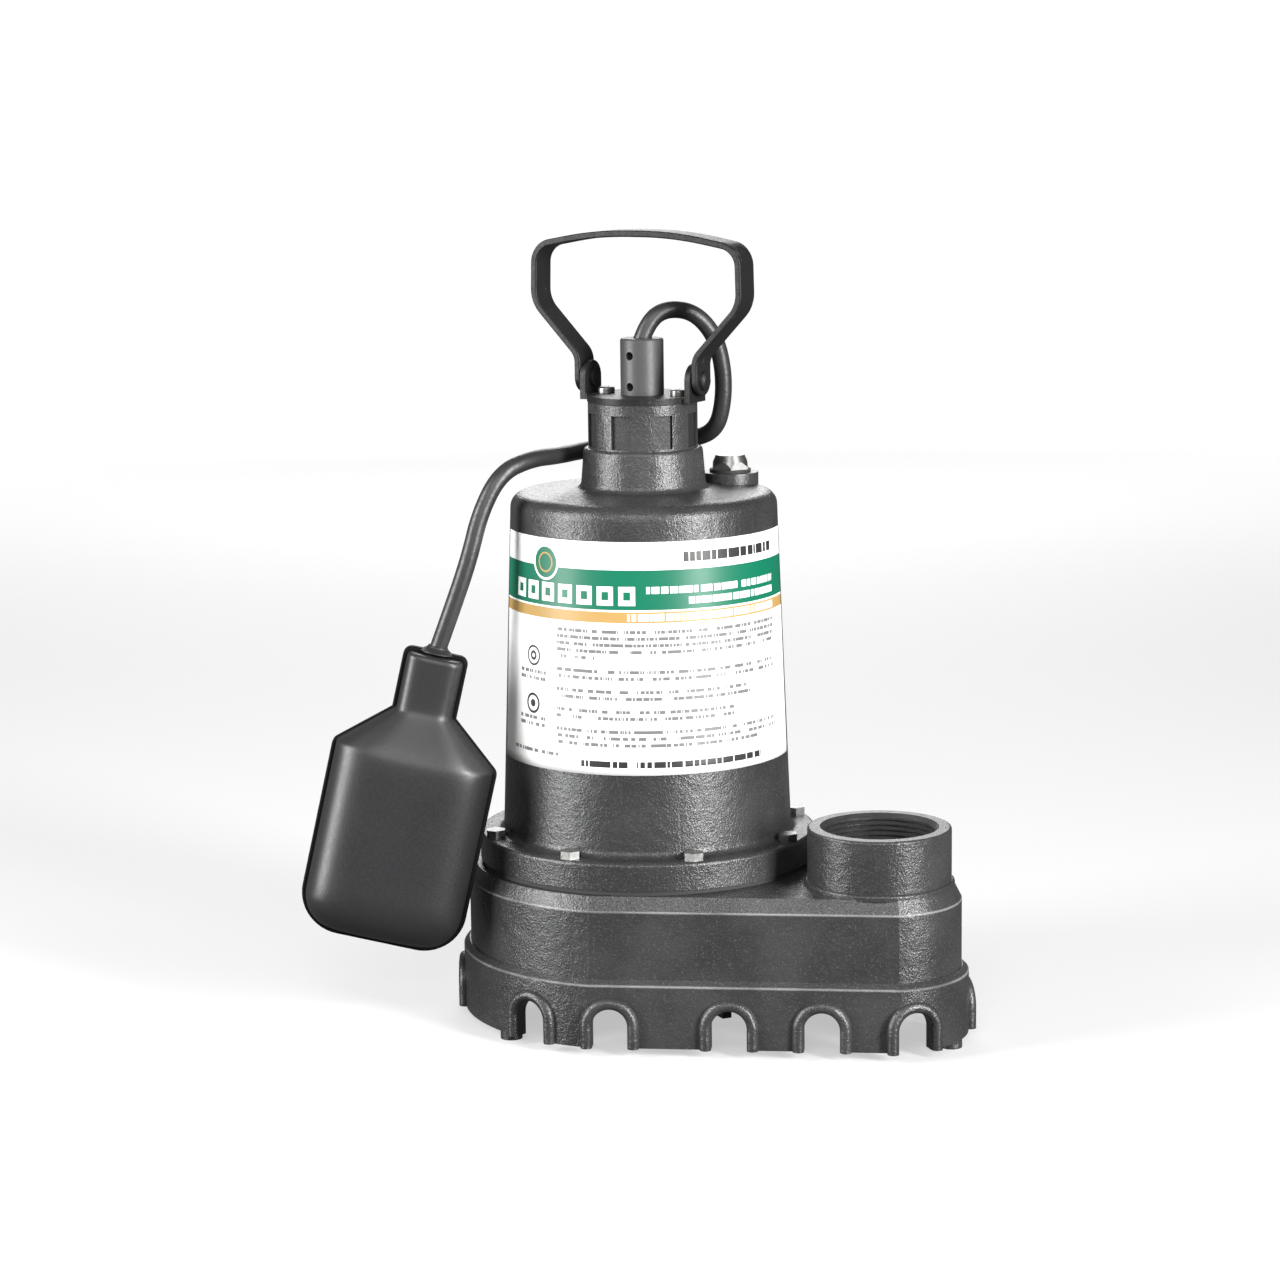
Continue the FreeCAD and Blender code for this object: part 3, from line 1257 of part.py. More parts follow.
def float_outline(inset, y):
    """The float's outline at one depth: neck, sloping shoulders, straight sides and round lower corners."""
    wide = number(d.float_width) / 2 - inset
    neck = neck_half - inset
    low = -number(d.float_length) + inset
    spots = [(neck, -inset), (neck, -neck_length - inset * 0.4), (wide, -shoulder_length - inset * 0.5)]
    bend = max(corner_round - inset, 4.0)
    right = [Vector(x, y, z) for x, z in spots]
    left = [Vector(-x, y, z) for x, z in reversed(spots)]
    slant = bend * (1 - math.sqrt(0.5))
    edges = [Part.makeLine(a, b) for a, b in zip(right, right[1:])]
    edges.append(Part.makeLine(right[-1], Vector(wide, y, low + bend)))
    edges.append(Part.Arc(Vector(wide, y, low + bend), Vector(wide - slant, y, low + slant),
                          Vector(wide - bend, y, low)).toShape())
    edges.append(Part.makeLine(Vector(wide - bend, y, low), Vector(bend - wide, y, low)))
    edges.append(Part.Arc(Vector(bend - wide, y, low), Vector(slant - wide, y, low + slant),
                          Vector(-wide, y, low + bend)).toShape())
    edges.append(Part.makeLine(Vector(-wide, y, low + bend), left[0]))
    edges += [Part.makeLine(a, b) for a, b in zip(left, left[1:])]
    edges.append(Part.makeLine(left[-1], right[0]))
    return Part.Wire(edges)


def crowned_half(inset, deep, side):
    """Half a float, from the seam outwards: upright near the seam, then leaning in to a flat crown."""
    stations = [(inset, 0.0), (inset, deep * 0.5), (inset + 2.2, deep * 0.8), (inset + 6.0, deep)]
    pieces = [Part.makeLoft([float_outline(a, y1 * side), float_outline(b, y2 * side)], True, True)
              for (a, y1), (b, y2) in zip(stations, stations[1:])]
    return pieces[0].fuse(pieces[1:]).removeSplitter()


def make_float():
    wall = number(d.float_wall)
    half = number(d.float_depth) / 2
    cord_hole = Part.makeCylinder(number(cord_radius) + 0.1, 18.0, Vector(0, 0, -17))
    for node, side in (("float_shell_front", -1), ("float_shell_back", 1)):
        shell = crowned_half(0.0, half - 0.05, side).cut(crowned_half(wall, half - wall, side))
        post = Part.makeBox(2 * neck_half - 2 * wall + 0.4, half - 4, 13.0)
        post.Placement.Base = Vector(wall - neck_half - 0.2, -half + 4 if side < 0 else 0.0, -15.5)
        shell = shell.fuse(post.common(crowned_half(1.0, half - 1.0, side))).cut(cord_hole)
        gap = 0.05 * side
        shell.translate(Vector(0, gap, 0))
        keep(shape_feature(node + "_body", shell.removeSplitter(), float_place), node)
    inner = number(d.ball_radius + d.fit) + 0.15
    travel = number(d.ball_travel)
    tube_low = -108.0
    tube_high = tube_low + 2 + 2 * number(d.ball_radius) + travel + 0.4
    tube = Part.makeCylinder(inner + 2.0, tube_high - tube_low, Vector(0, 0, tube_low))
    tube = tube.cut(Part.makeCylinder(inner, tube_high - tube_low, Vector(0, 0, tube_low + 2)))
    for side in (-1, 1):
        rib = Part.makeBox(24.0, 2.0, 24.0)
        rib.Placement.Base = Vector(inner + 1 if side > 0 else -inner - 25, -1.0, tube_low + 2)
        tube = tube.fuse(rib)
    tube = tube.cut(Part.makeCylinder(inner, tube_high - tube_low, Vector(0, 0, tube_low + 2)))
    keep(shape_feature("ball_guide_body", tube.removeSplitter(), float_place), "ball_guide")
    ball = Part.makeSphere(number(d.ball_radius), Vector(0, 0, tube_low + 2.2 + number(d.ball_radius)))
    keep(shape_feature("switch_ball_body", ball, float_place), "switch_ball")
    block_low = tube_high + 0.3
    block = Part.makeBox(24.0, 16.0, 14.0)
    block.Placement.Base = Vector(-12.0, -8.0, block_low)
    dimple = Part.makeCylinder(inner, 1.5, Vector(0, 0, block_low - 0.5))
    block = block.makeFillet(1.5, block.Edges).cut(dimple)
    keep(shape_feature("switch_block_body", block, float_place), "switch_contact_block")
    leads = []
    for side in (-1, 1):
        lead = Part.makeCylinder(1.1, -16.0 - (block_low + 14), Vector(side * 4.0, 0, block_low + 14))
        leads.append(lead)
    keep(shape_feature("float_leads_body", Part.makeCompound(leads), float_place), "float_switch_leads")
    weight = Part.makeBox(30.0, 10.0, 8.0)
    weight.Placement.Base = Vector(-15.0, -5.0, tube_low - 9.5)
    keep(shape_feature("float_weight_body", weight.makeFillet(2.0, weight.Edges), float_place), "float_weight")


make_float()

# ---------------------------------------------------------------- checks and files

doc.recompute()
for thing in doc.Objects:
    if "Invalid" in thing.State or "Error" in thing.State:
        raise ValueError("%s did not recompute: %s" % (thing.Name, thing.State))
for node, thing in nodes.items():
    if thing.Label != node:
        raise ValueError("the label %s is taken" % node)
    if thing.Shape.isNull() or not thing.Shape.isValid() or not thing.Shape.Solids:
        raise ValueError("%s has no valid shape" % node)

os.makedirs("parts", exist_ok=True)
for node, thing in nodes.items():
    thing.Shape.exportStep("parts/%s.step" % node)
print("%d sub-parts written" % len(nodes))
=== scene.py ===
"""A submersible sump pump: its looks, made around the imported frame.

Everything is in metres, with +Z up, the origin on the floor under the middle of the base, and +X from the
motor's axis towards the discharge. The castings, screws and fittings keep the frame's own shapes and get
their finishes here; the cord, the float and the label are made here as surfaces.
"""

import json
import math

import bpy
import numpy as np
from mathutils import Matrix, Vector


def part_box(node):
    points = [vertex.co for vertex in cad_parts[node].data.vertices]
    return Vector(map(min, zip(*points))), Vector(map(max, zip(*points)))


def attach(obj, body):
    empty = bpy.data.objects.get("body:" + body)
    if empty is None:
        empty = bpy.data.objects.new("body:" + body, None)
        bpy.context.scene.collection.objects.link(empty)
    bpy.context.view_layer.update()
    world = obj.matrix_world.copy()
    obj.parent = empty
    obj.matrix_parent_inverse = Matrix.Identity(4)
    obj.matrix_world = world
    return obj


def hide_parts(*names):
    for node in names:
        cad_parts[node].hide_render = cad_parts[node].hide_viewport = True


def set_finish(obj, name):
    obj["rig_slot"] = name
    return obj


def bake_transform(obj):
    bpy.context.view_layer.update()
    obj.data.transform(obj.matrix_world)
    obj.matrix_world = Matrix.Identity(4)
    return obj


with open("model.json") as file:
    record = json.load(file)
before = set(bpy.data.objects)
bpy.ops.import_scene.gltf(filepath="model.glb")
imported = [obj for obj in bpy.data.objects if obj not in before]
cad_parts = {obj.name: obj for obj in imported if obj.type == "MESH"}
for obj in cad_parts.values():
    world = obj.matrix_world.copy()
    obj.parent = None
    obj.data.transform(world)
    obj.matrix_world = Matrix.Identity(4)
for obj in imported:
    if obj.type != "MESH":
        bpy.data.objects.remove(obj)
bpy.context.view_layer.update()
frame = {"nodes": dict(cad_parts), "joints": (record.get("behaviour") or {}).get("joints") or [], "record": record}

MM = 0.001
JOINTS = {joint["name"]: joint for joint in frame["joints"]}
MOTOR_X = JOINTS["rotor_spin"]["pos_m"][0]

# ---------------------------------------------------------------- camera

VIEW_AZIMUTH = math.radians(28.74)
CAMERA_BACK = 1.416
CAMERA_HEIGHT = 0.407
CAMERA_PITCH = math.radians(9.90)
CAMERA_YAW = math.radians(-0.093)
CAMERA_ROLL = math.radians(0.72)
LENS = 95.3


def make_camera():
    """Stands to the front right of the motor's axis, a little above the pump, and looks slightly down."""
    ahead = Vector((-math.sin(VIEW_AZIMUTH), math.cos(VIEW_AZIMUTH), 0.0))
    across = Vector((math.cos(VIEW_AZIMUTH), math.sin(VIEW_AZIMUTH), 0.0))
    up = Vector((0.0, 0.0, 1.0))
    level = ahead * math.cos(CAMERA_YAW) + across * math.sin(CAMERA_YAW)
    right = level.cross(up).normalized()
    look = level * math.cos(CAMERA_PITCH) - up * math.sin(CAMERA_PITCH)
    top = right.cross(look)
    leaning_right = right * math.cos(CAMERA_ROLL) - top * math.sin(CAMERA_ROLL)
    leaning_top = top * math.cos(CAMERA_ROLL) + right * math.sin(CAMERA_ROLL)
    data = bpy.data.cameras.new("camera")
    data.lens = LENS
    data.sensor_width = 36.0
    camera = bpy.data.objects.new("camera", data)
    camera.matrix_world = Matrix((leaning_right, leaning_top, -look)).transposed().to_4x4()
    camera.location = Vector((MOTOR_X, 0.0, 0.0)) - ahead * CAMERA_BACK + up * CAMERA_HEIGHT
    bpy.context.scene.collection.objects.link(camera)
    bpy.context.scene.camera = camera


make_camera()

# ---------------------------------------------------------------- surfaces from arrays


def object_from(name, points, faces):
    """A mesh object at the origin, smooth, with its faces in the order given."""
    mesh = bpy.data.meshes.new(name)
    mesh.from_pydata(points.reshape(-1, 3).tolist(), [], [list(face) for face in faces])
    mesh.validate()
    mesh.shade_smooth()
    piece = bpy.data.objects.new(name, mesh)
    bpy.context.scene.collection.objects.link(piece)
    return piece


def grid_faces(rows, columns, around=True, along=False):
    """Four-sided faces between neighbouring points of a grid; around joins the last column to the first,
    and along joins the last row to the first."""
    index = np.arange(rows * columns).reshape(rows, columns)
    if around:
        index = np.concatenate([index, index[:, :1]], axis=1)
    if along:
        index = np.concatenate([index, index[:1]], axis=0)
    corners = [index[:-1, :-1], index[:-1, 1:], index[1:, 1:], index[1:, :-1]]
    return np.stack(corners, axis=-1).reshape(-1, 4)


def closed_tube(name, rings, looped=False):
    """A piece over rings of points: each ring joins the next, and the first and last rings are closed by a
    flat face each, unless the rings make a loop."""
    rows, columns = rings.shape[:2]
    faces = grid_faces(rows, columns, along=looped).tolist()
    if not looped:
        faces.append(list(range(columns))[::-1])
        faces.append(list(range((rows - 1) * columns, rows * columns)))
    return object_from(name, rings, faces)


def unit(vectors):
    """Each vector over its own length."""
    return vectors / np.linalg.norm(vectors, axis=-1, keepdims=True)


def swept(path, section, side, looped=False):
    """Rings of a section carried along a path: at each point, the section's first number runs along the
    side direction squared up to the path, and its second along the direction square to both."""
    if looped:
        tangent = np.roll(path, -1, axis=0) - np.roll(path, 1, axis=0)
    else:
        tangent = np.gradient(path, axis=0)
    tangent = unit(tangent)
    second = unit(np.cross(tangent, side))
    first = np.cross(second, tangent)
    sections = np.broadcast_to(section, (len(path),) + np.shape(section)[-2:])
    return (path[:, None] + sections[..., :1] * first[:, None] + sections[..., 1:] * second[:, None])


def circle(count):
    """Points of a unit circle, as two columns."""
    angle = np.linspace(0.0, 2 * np.pi, count, endpoint=False)
    return np.stack([np.cos(angle), np.sin(angle)], axis=-1)


def rounded_box(half_width, half_height, corner, steps=4):
    """Points around a rectangle whose four corners are quarter circles."""
    quarter = np.linspace(0.0, np.pi / 2, steps)
    centres = np.array([(1, 1), (-1, 1), (-1, -1), (1, -1)]) * (half_width - corner, half_height - corner)
    turns = quarter[None, :] + np.arange(4)[:, None] * np.pi / 2
    arcs = np.stack([np.cos(turns), np.sin(turns)], axis=-1) * corner
    return (centres[:, None, :] + arcs).reshape(-1, 2)


def filleted(corners, radii, steps=8, looped=False):
    """A line through corners whose every corner is replaced by an arc tangent to both its sides: the arc
    starts and ends radius times the tangent of half the turn from the corner, and its points are the
    centre plus the radius turned evenly from one side to the other."""
    corners = np.asarray(corners, float)
    before = np.roll(corners, 1, axis=0)
    after = np.roll(corners, -1, axis=0)
    arriving, leaving = unit(corners - before), unit(after - corners)
    turn = np.arccos(np.clip((arriving * leaving).sum(-1), -1, 1))
    reach = (np.asarray(radii) * np.tan(turn / 2))[:, None]
    inward = unit(leaving - arriving)
    centre = corners + inward * (np.asarray(radii) / np.cos(turn / 2))[:, None]
    start, finish = corners - arriving * reach - centre, corners + leaving * reach - centre
    share = np.linspace(0, 1, steps)[None, :, None]
    angle = turn[:, None, None]
    turned = np.sin((1 - share) * angle) * start[:, None] + np.sin(share * angle) * finish[:, None]
    arcs = centre[:, None] + turned / np.sin(angle)
    if looped:
        return arcs.reshape(-1, corners.shape[1])
    inner = arcs[1:-1].reshape(-1, corners.shape[1])
    return np.concatenate([corners[:1], inner, corners[-1:]])


# ---------------------------------------------------------------- cord

CORD_ROUTE = [
    (0.3, 0.0, 288.0), (3.2, 1.0, 295.5), (11.2, 3.8, 300.0), (22.5, 7.8, 297.8), (31.0, 11.3, 287.5),
    (34.3, 13.2, 273.5), (34.3, 14.5, 259.5), (31.3, 16.5, 247.5), (22.5, 25.0, 242.5), (6.5, 32.0, 240.5),
    (-12.5, 31.0, 239.5), (-27.0, 19.5, 238.5), (-35.5, 1.5, 238.8), (-46.5, -15.0, 239.6),
    (-59.0, -24.5, 235.0), (-67.5, -28.5, 219.5), (-72.5, -31.0, 200.0), (-80.0, -32.0, 179.0),
    (-86.4, -32.0, 162.0),
]
CORD_DIAMETER = 7.2 * MM
SLEEVE_GRIP = 2.5 * MM
PIVOT = 13


def from_motor(sideways, back, height):
    """A place given along the view's own directions from the motor's axis, in the frame."""
    x = MOTOR_X + (sideways * math.cos(VIEW_AZIMUTH) - back * math.sin(VIEW_AZIMUTH)) * MM
    y = (sideways * math.sin(VIEW_AZIMUTH) + back * math.cos(VIEW_AZIMUTH)) * MM
    return (x, y, height * MM)


cord_points = [from_motor(*spot) for spot in CORD_ROUTE]


def smooth_line(points, resolution=16):
    """The points along a NURBS curve that has these control points."""
    curve = bpy.data.curves.new("route", "CURVE")
    curve.dimensions = "3D"
    curve.resolution_u = resolution
    spline = curve.splines.new("NURBS")
    spline.points.add(len(points) - 1)
    spline.points.foreach_set("co", np.column_stack([points, np.ones(len(points))]).ravel())
    spline.order_u = 3
    spline.use_endpoint_u = True
    holder = bpy.data.objects.new("route", curve)
    bpy.context.scene.collection.objects.link(holder)
    bpy.context.view_layer.update()
    mesh = bpy.data.meshes.new_from_object(holder)
    line = np.empty(len(mesh.vertices) * 3)
    mesh.vertices.foreach_get("co", line)
    bpy.data.objects.remove(holder)
    bpy.data.meshes.remove(mesh)
    return line.reshape(-1, 3)


def make_cord():
    """A round tube along the route, one ring of points to each point of the line."""
    line = smooth_line(cord_points)
    inside_sleeve = line[0] - unit(line[1] - line[0]) * SLEEVE_GRIP
    ring = circle(28) * (CORD_DIAMETER / 2)
    cord = closed_tube("cord", swept(np.vstack([inside_sleeve, line]), ring, np.array([-0.45, 0.85, 0.28])))
    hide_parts("cord_loop", "tether_bend", "tether_drop")
    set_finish(cord, "cord_rubber")
    bend_start = (np.array(cord_points[PIVOT - 1]) + cord_points[PIVOT]) / 2
    bend_end = (np.array(cord_points[PIVOT + 1]) + cord_points[PIVOT + 2]) / 2
    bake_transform(cord)
    return cord, line


cord, cord_line = make_cord()

# ---------------------------------------------------------------- float

FLOAT_LEAN = math.radians(13.0)
FLOAT_TURN = Matrix.Rotation(VIEW_AZIMUTH, 3, "Z") @ Matrix.Rotation(FLOAT_LEAN, 3, "Y")
FLOAT_TOP = Vector(cord_points[-1])
NECK_HALF = 13.6 * MM
NECK_LENGTH = 26.0 * MM
SHOULDER = 44.5 * MM
FLOAT_HALF = 35.0 * MM
FLOAT_LENGTH = 127.0 * MM
FLOAT_DEEP = 21.0 * MM
NECK_DEEP = 10.0 * MM
NECK_CREASE = 0.5 * MM
SHOULDER_CREST = 1.1 * MM
CORNER_ROUND = 18.0 * MM
LOW_ROUND = 24.0 * MM
TOP_EDGE = 2.2 * MM
TOP_SOFTNESS = 1.6 * MM
BODY_POWER = 0.66
NECK_POWER = 0.56
BODY_INSET = 1.8 * MM
RIM_WIDE = 2.6 * MM
RIM_DEEP = 2.2 * MM
RIM_CORNER = 0.9 * MM
BOOT_SIDES = 40


def in_float_place(points):
    """Points of the float's own frame, which hangs from the cord's end, put in the frame."""
    return points @ np.array(FLOAT_TURN).T + np.array(FLOAT_TOP)


def float_half_width(down):
    """Half the body's width at a distance down from its top: the neck's, then growing evenly over the
    shoulders, then the body's, less a quarter circle's share over the lowest corner's radius."""
    neck = NECK_HALF - BODY_INSET
    wide = np.interp(down, [0.0, NECK_LENGTH, SHOULDER], [neck, neck, FLOAT_HALF - BODY_INSET])
    round_off = CORNER_ROUND - BODY_INSET
    below = np.clip((down - (FLOAT_LENGTH - BODY_INSET - round_off)) / round_off, 0.0, 1.0)
    return wide - round_off * (1.0 - np.sqrt(1.0 - below**2))


def float_half_depth(down):
    """Half the body's depth at a distance down: the greater of the neck's and an even slope, then the
    lesser of that and the full depth, both blended with a square root, and a quarter of a superellipse
    over the lowest stretch."""
    slope = NECK_DEEP + (down - NECK_LENGTH) * (FLOAT_DEEP - NECK_DEEP) / (SHOULDER - NECK_LENGTH)
    swelling = (slope + NECK_DEEP) / 2 + np.sqrt(((slope - NECK_DEEP) / 2) ** 2 + NECK_CREASE**2)
    deep = (swelling + FLOAT_DEEP) / 2 - np.sqrt(((swelling - FLOAT_DEEP) / 2) ** 2 + SHOULDER_CREST**2)
    below = np.clip((down - (FLOAT_LENGTH - BODY_INSET - LOW_ROUND)) / LOW_ROUND, 0.0, 1.0)
    return np.maximum(deep * (1.0 - below**2.6) ** (1 / 2.2), 1.0 * MM)


def make_float_body():
    """A moulded body with a softened top edge: at each height, the cross-section is a superellipse, whose
    two coordinates are the cosine and sine raised to a power below one with their signs kept."""
    close_rows = 29 * MM
    edge_rows = BODY_INSET + np.array([0.0, 0.15, 0.45, 0.9, 1.5, 2.2]) * MM
    upper = BODY_INSET + np.linspace(2.6 * MM, SHOULDER + 6 * MM, 60)
    middle = np.linspace(SHOULDER + 10 * MM, FLOAT_LENGTH - close_rows - MM, 30)
    lower = FLOAT_LENGTH - BODY_INSET - close_rows * (1 - np.sin(np.linspace(0.05, np.pi / 2, 34)))
    lower[-1] -= 0.01 * MM
    down = np.concatenate([edge_rows, upper, middle, lower])
    edge = np.clip((down - BODY_INSET) / TOP_EDGE, 0.0, 1.0)
    soften = TOP_SOFTNESS * (1 - np.sqrt(1 - (1 - edge) ** 2))
    width = (float_half_width(down) - soften)[:, None]
    depth = (float_half_depth(down) - soften)[:, None]
    angle = np.linspace(0.0, 2 * np.pi, 96, endpoint=False)
    above_shoulder = np.clip((SHOULDER - down) / SHOULDER, 0, 1)[:, None]
    power = BODY_POWER + (NECK_POWER - BODY_POWER) * above_shoulder
    x = width * np.sign(np.cos(angle)) * np.abs(np.cos(angle)) ** power
    y = depth * np.sign(np.sin(angle)) * np.abs(np.sin(angle)) ** power
    z = np.broadcast_to(-down[:, None], x.shape)
    body = closed_tube("float_body", in_float_place(np.stack([x, y, z], axis=-1)))
    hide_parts("float_shell_front", "float_shell_back")
    return body


def make_float_rim():
    """The welded seam: a rounded strip carried round the float's outline, whose corners are arcs."""
    half = RIM_WIDE / 2
    corners = np.array([(NECK_HALF, 0.0), (NECK_HALF, -NECK_LENGTH), (FLOAT_HALF, -SHOULDER),
                        (FLOAT_HALF, -FLOAT_LENGTH)])
    corners = np.concatenate([corners, corners[::-1] * (-1, 1)])
    middle = corners - np.sign(corners + (0, FLOAT_LENGTH / 2)) * half * (1, 1)
    radii = np.array([2.5, 1.5, 3.0, 16.8, 16.8, 3.0, 1.5, 2.5]) * MM
    outline = filleted(middle, radii, steps=14, looped=True)
    path = np.stack([outline[:, 0], np.zeros(len(outline)), outline[:, 1]], axis=-1)
    rings = swept(path, rounded_box(RIM_DEEP, half, RIM_CORNER), np.array([0.0, 1.0, 0.0]), looped=True)
    return closed_tube("float_rim", in_float_place(rings), looped=True)


def make_cord_boot():
    """A short collar where the cord enters the float: circles whose radius shrinks in a quarter wave."""
    rise = np.linspace(0.0, 1.0, 8)
    radius = CORD_DIAMETER / 2 + (0.5 + 3.4 * (1 - np.sin(rise * np.pi / 2))) * MM
    height = (-0.6 + 2.6 * rise) * MM
    flat = radius[:, None, None] * circle(BOOT_SIDES)
    level = np.broadcast_to(height[:, None, None], (len(rise), BOOT_SIDES, 1))
    return closed_tube("cord_boot", in_float_place(np.concatenate([flat, level], axis=-1)))


float_body, float_rim, cord_boot = make_float_body(), make_float_rim(), make_cord_boot()
float_pieces = [float_body, float_rim, cord_boot]
for piece in float_pieces:
    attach(piece, "float")
    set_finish(piece, "float_plastic")

# ---------------------------------------------------------------- label

LABEL_MIDDLE = math.radians(-61.0)
LABEL_HALF_ANGLE = math.radians(77.0)
LABEL_PROUD = 0.25 * MM
# The housing's radius falls from 61.4 mm at height 68 mm to 56 mm at 223.5 mm.
LABEL_TAPER = (61.4 - 56.0) / (223.5 - 68.0)


def make_label():
    """A thin film round the tapered housing: a grid of angle by height, its radius that of the housing at
    each height plus the film's own thickness, with the two numbers kept as its UV map."""
    low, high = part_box("rating_label")
    reach = max(abs(low.y), abs(high.y))
    rows, columns = 25, 97
    height = np.linspace(low.z, high.z, rows)
    angle = np.linspace(LABEL_MIDDLE - LABEL_HALF_ANGLE, LABEL_MIDDLE + LABEL_HALF_ANGLE, columns)
    radius = (reach + LABEL_TAPER * (low.z - height))[:, None]
    x = MOTOR_X + radius * np.cos(angle)
    y = radius * np.sin(angle)
    z = np.broadcast_to(height[:, None], x.shape)
    label = object_from("label_film", np.stack([x, y, z], axis=-1), grid_faces(rows, columns, around=False))
    across = np.broadcast_to(np.linspace(0, 1, columns), (rows, columns))
    up = np.broadcast_to(np.linspace(0, 1, rows)[:, None], (rows, columns))
    spots = np.stack([across, up], axis=-1).reshape(-1, 2)
    corner = np.empty(len(label.data.loops), int)
    label.data.loops.foreach_get("vertex_index", corner)
    label.data.uv_layers.new(name="film").uv.foreach_set("vector", spots[corner].ravel())
    thickness = label.modifiers.new("film", "SOLIDIFY")
    thickness.thickness = LABEL_PROUD
    thickness.offset = 1.0
    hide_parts("rating_label")
    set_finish(label, "label_film")
    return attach(label, "root")


label = make_label()

# ---------------------------------------------------------------- shading helpers


class Value:
    """A number that varies over a surface; arithmetic on it adds Math nodes to its finish."""

    def __init__(self, finish, socket):
        self.finish = finish
        self.socket = socket

    def __add__(self, other):
        return self.finish.maths("ADD", self, other)

    def __sub__(self, other):
        return self.finish.maths("SUBTRACT", self, other)

    def __rsub__(self, other):
        return self.finish.maths("SUBTRACT", other, self)

    def __mul__(self, other):
        return self.finish.maths("MULTIPLY", self, other)

    def __truediv__(self, other):
        return self.finish.maths("DIVIDE", self, other)

    def __pow__(self, other):
        return self.finish.maths("POWER", self, other)

    def __gt__(self, other):
        return self.finish.maths("GREATER_THAN", self, other)

    def __lt__(self, other):
        return self.finish.maths("LESS_THAN", self, other)

    def __abs__(self):
        return self.finish.maths("ABSOLUTE", self)

    def fraction(self):
        """The part after the decimal point."""
        return self.finish.maths("FRACT", self)

    def floor(self):
        """The whole number below."""
        return self.finish.maths("FLOOR", self)

    __radd__ = __add__
    __rmul__ = __mul__


class Finish:
    """A material: one Principled shader and the nodes that feed it."""

    def __init__(self, name, **settings):
        self.material = bpy.data.materials.new(name)
        self.material.use_nodes = True
        self.tree = self.material.node_tree
        self.shader = self.tree.nodes["Principled BSDF"]
        self.done(**settings)

    def feed(self, socket, value):
        """Links a varying value to a socket, or sets a fixed one on it."""
        if isinstance(value, Value):
            self.tree.links.new(value.socket, socket)
        elif isinstance(value, bpy.types.NodeSocket):
            self.tree.links.new(value, socket)
        elif socket.type == "RGBA" and len(value) == 3:
            socket.default_value = (*value, 1.0)
        else:
            socket.default_value = value

    def node(self, kind, settings=None, inputs=None, output=0):
        """Adds a node of a type, sets its settings, then its sockets, and gives one of its outputs."""
        added = self.tree.nodes.new(kind)
        for setting, value in (settings or {}).items():
            setattr(added, setting, value)
        for socket, value in (inputs or {}).items():
            self.feed(added.inputs[socket], value)
        return added.outputs[output]

    def maths(self, operation, *values):
        """A Math node on numbers or varying values."""
        return Value(self, self.node("ShaderNodeMath", {"operation": operation}, dict(enumerate(values))))

    def mix(self, share, first, second):
        """A colour between two, by a share from 0 to 1."""
        return self.node("ShaderNodeMix", {"data_type": "RGBA"}, {0: share, 6: first, 7: second}, 2)

    def places(self, scale=(1.0, 1.0, 1.0)):
        """The object's own coordinates in metres, scaled."""
        where = self.node("ShaderNodeTexCoord", output="Object")
        return self.node("ShaderNodeMapping", inputs={"Vector": where, "Scale": scale})

    def axis(self, letter, vector=None):
        """One coordinate of a place, in metres."""
        source = vector or self.node("ShaderNodeTexCoord", output="Object")
        return Value(self, self.node("ShaderNodeSeparateXYZ", inputs={0: source}, output=letter))

    def noise(self, size, detail=2.0, roughness=0.5, vector=None):
        """Soft random patches of about one size in metres."""
        source = vector or self.places()
        sockets = {"Vector": source, "Scale": 1.0 / size, "Detail": detail, "Roughness": roughness}
        return Value(self, self.node("ShaderNodeTexNoise", inputs=sockets))

    def ramp(self, value, low, high):
        """A number that follows a varying value smoothly between two stops, each a place and a height."""
        sockets = {"Value": value, "From Min": low[0], "From Max": high[0], "To Min": low[1], "To Max": high[1]}
        return Value(self, self.node("ShaderNodeMapRange", {"interpolation_type": "SMOOTHSTEP"}, sockets))

    def bump(self, height, depth, under=None):
        """Small relief: a height from 0 to 1 times a depth in metres, on top of another relief."""
        sockets = {"Height": height, "Distance": depth}
        if under is not None:
            sockets["Normal"] = under
        return self.node("ShaderNodeBump", inputs=sockets, output="Normal")

    def done(self, **settings):
        """Feeds the shader and gives the material."""
        for setting, value in settings.items():
            socket = "IOR" if setting == "ior" else setting.replace("_", " ").title()
            self.feed(self.shader.inputs[socket], value)
        return self.material


# ---------------------------------------------------------------- finishes


# Heights of the corners at the top of the volute's side and at the top of the skirt, how the painted
# highlight line on them fades with distance, and the heights and the radius inside which the neck's pockets
# lie, which get painted shade.
CAST_CORNERS = (60.0 * MM, 29.6 * MM)
PAINTED_HIGHLIGHT_FADE = ((0.15 * MM, 1.0), (0.65 * MM, 0.0))
POCKET_HEIGHTS = (243.4 * MM, 257.2 * MM)
POCKET_RADIUS = 22.3 * MM


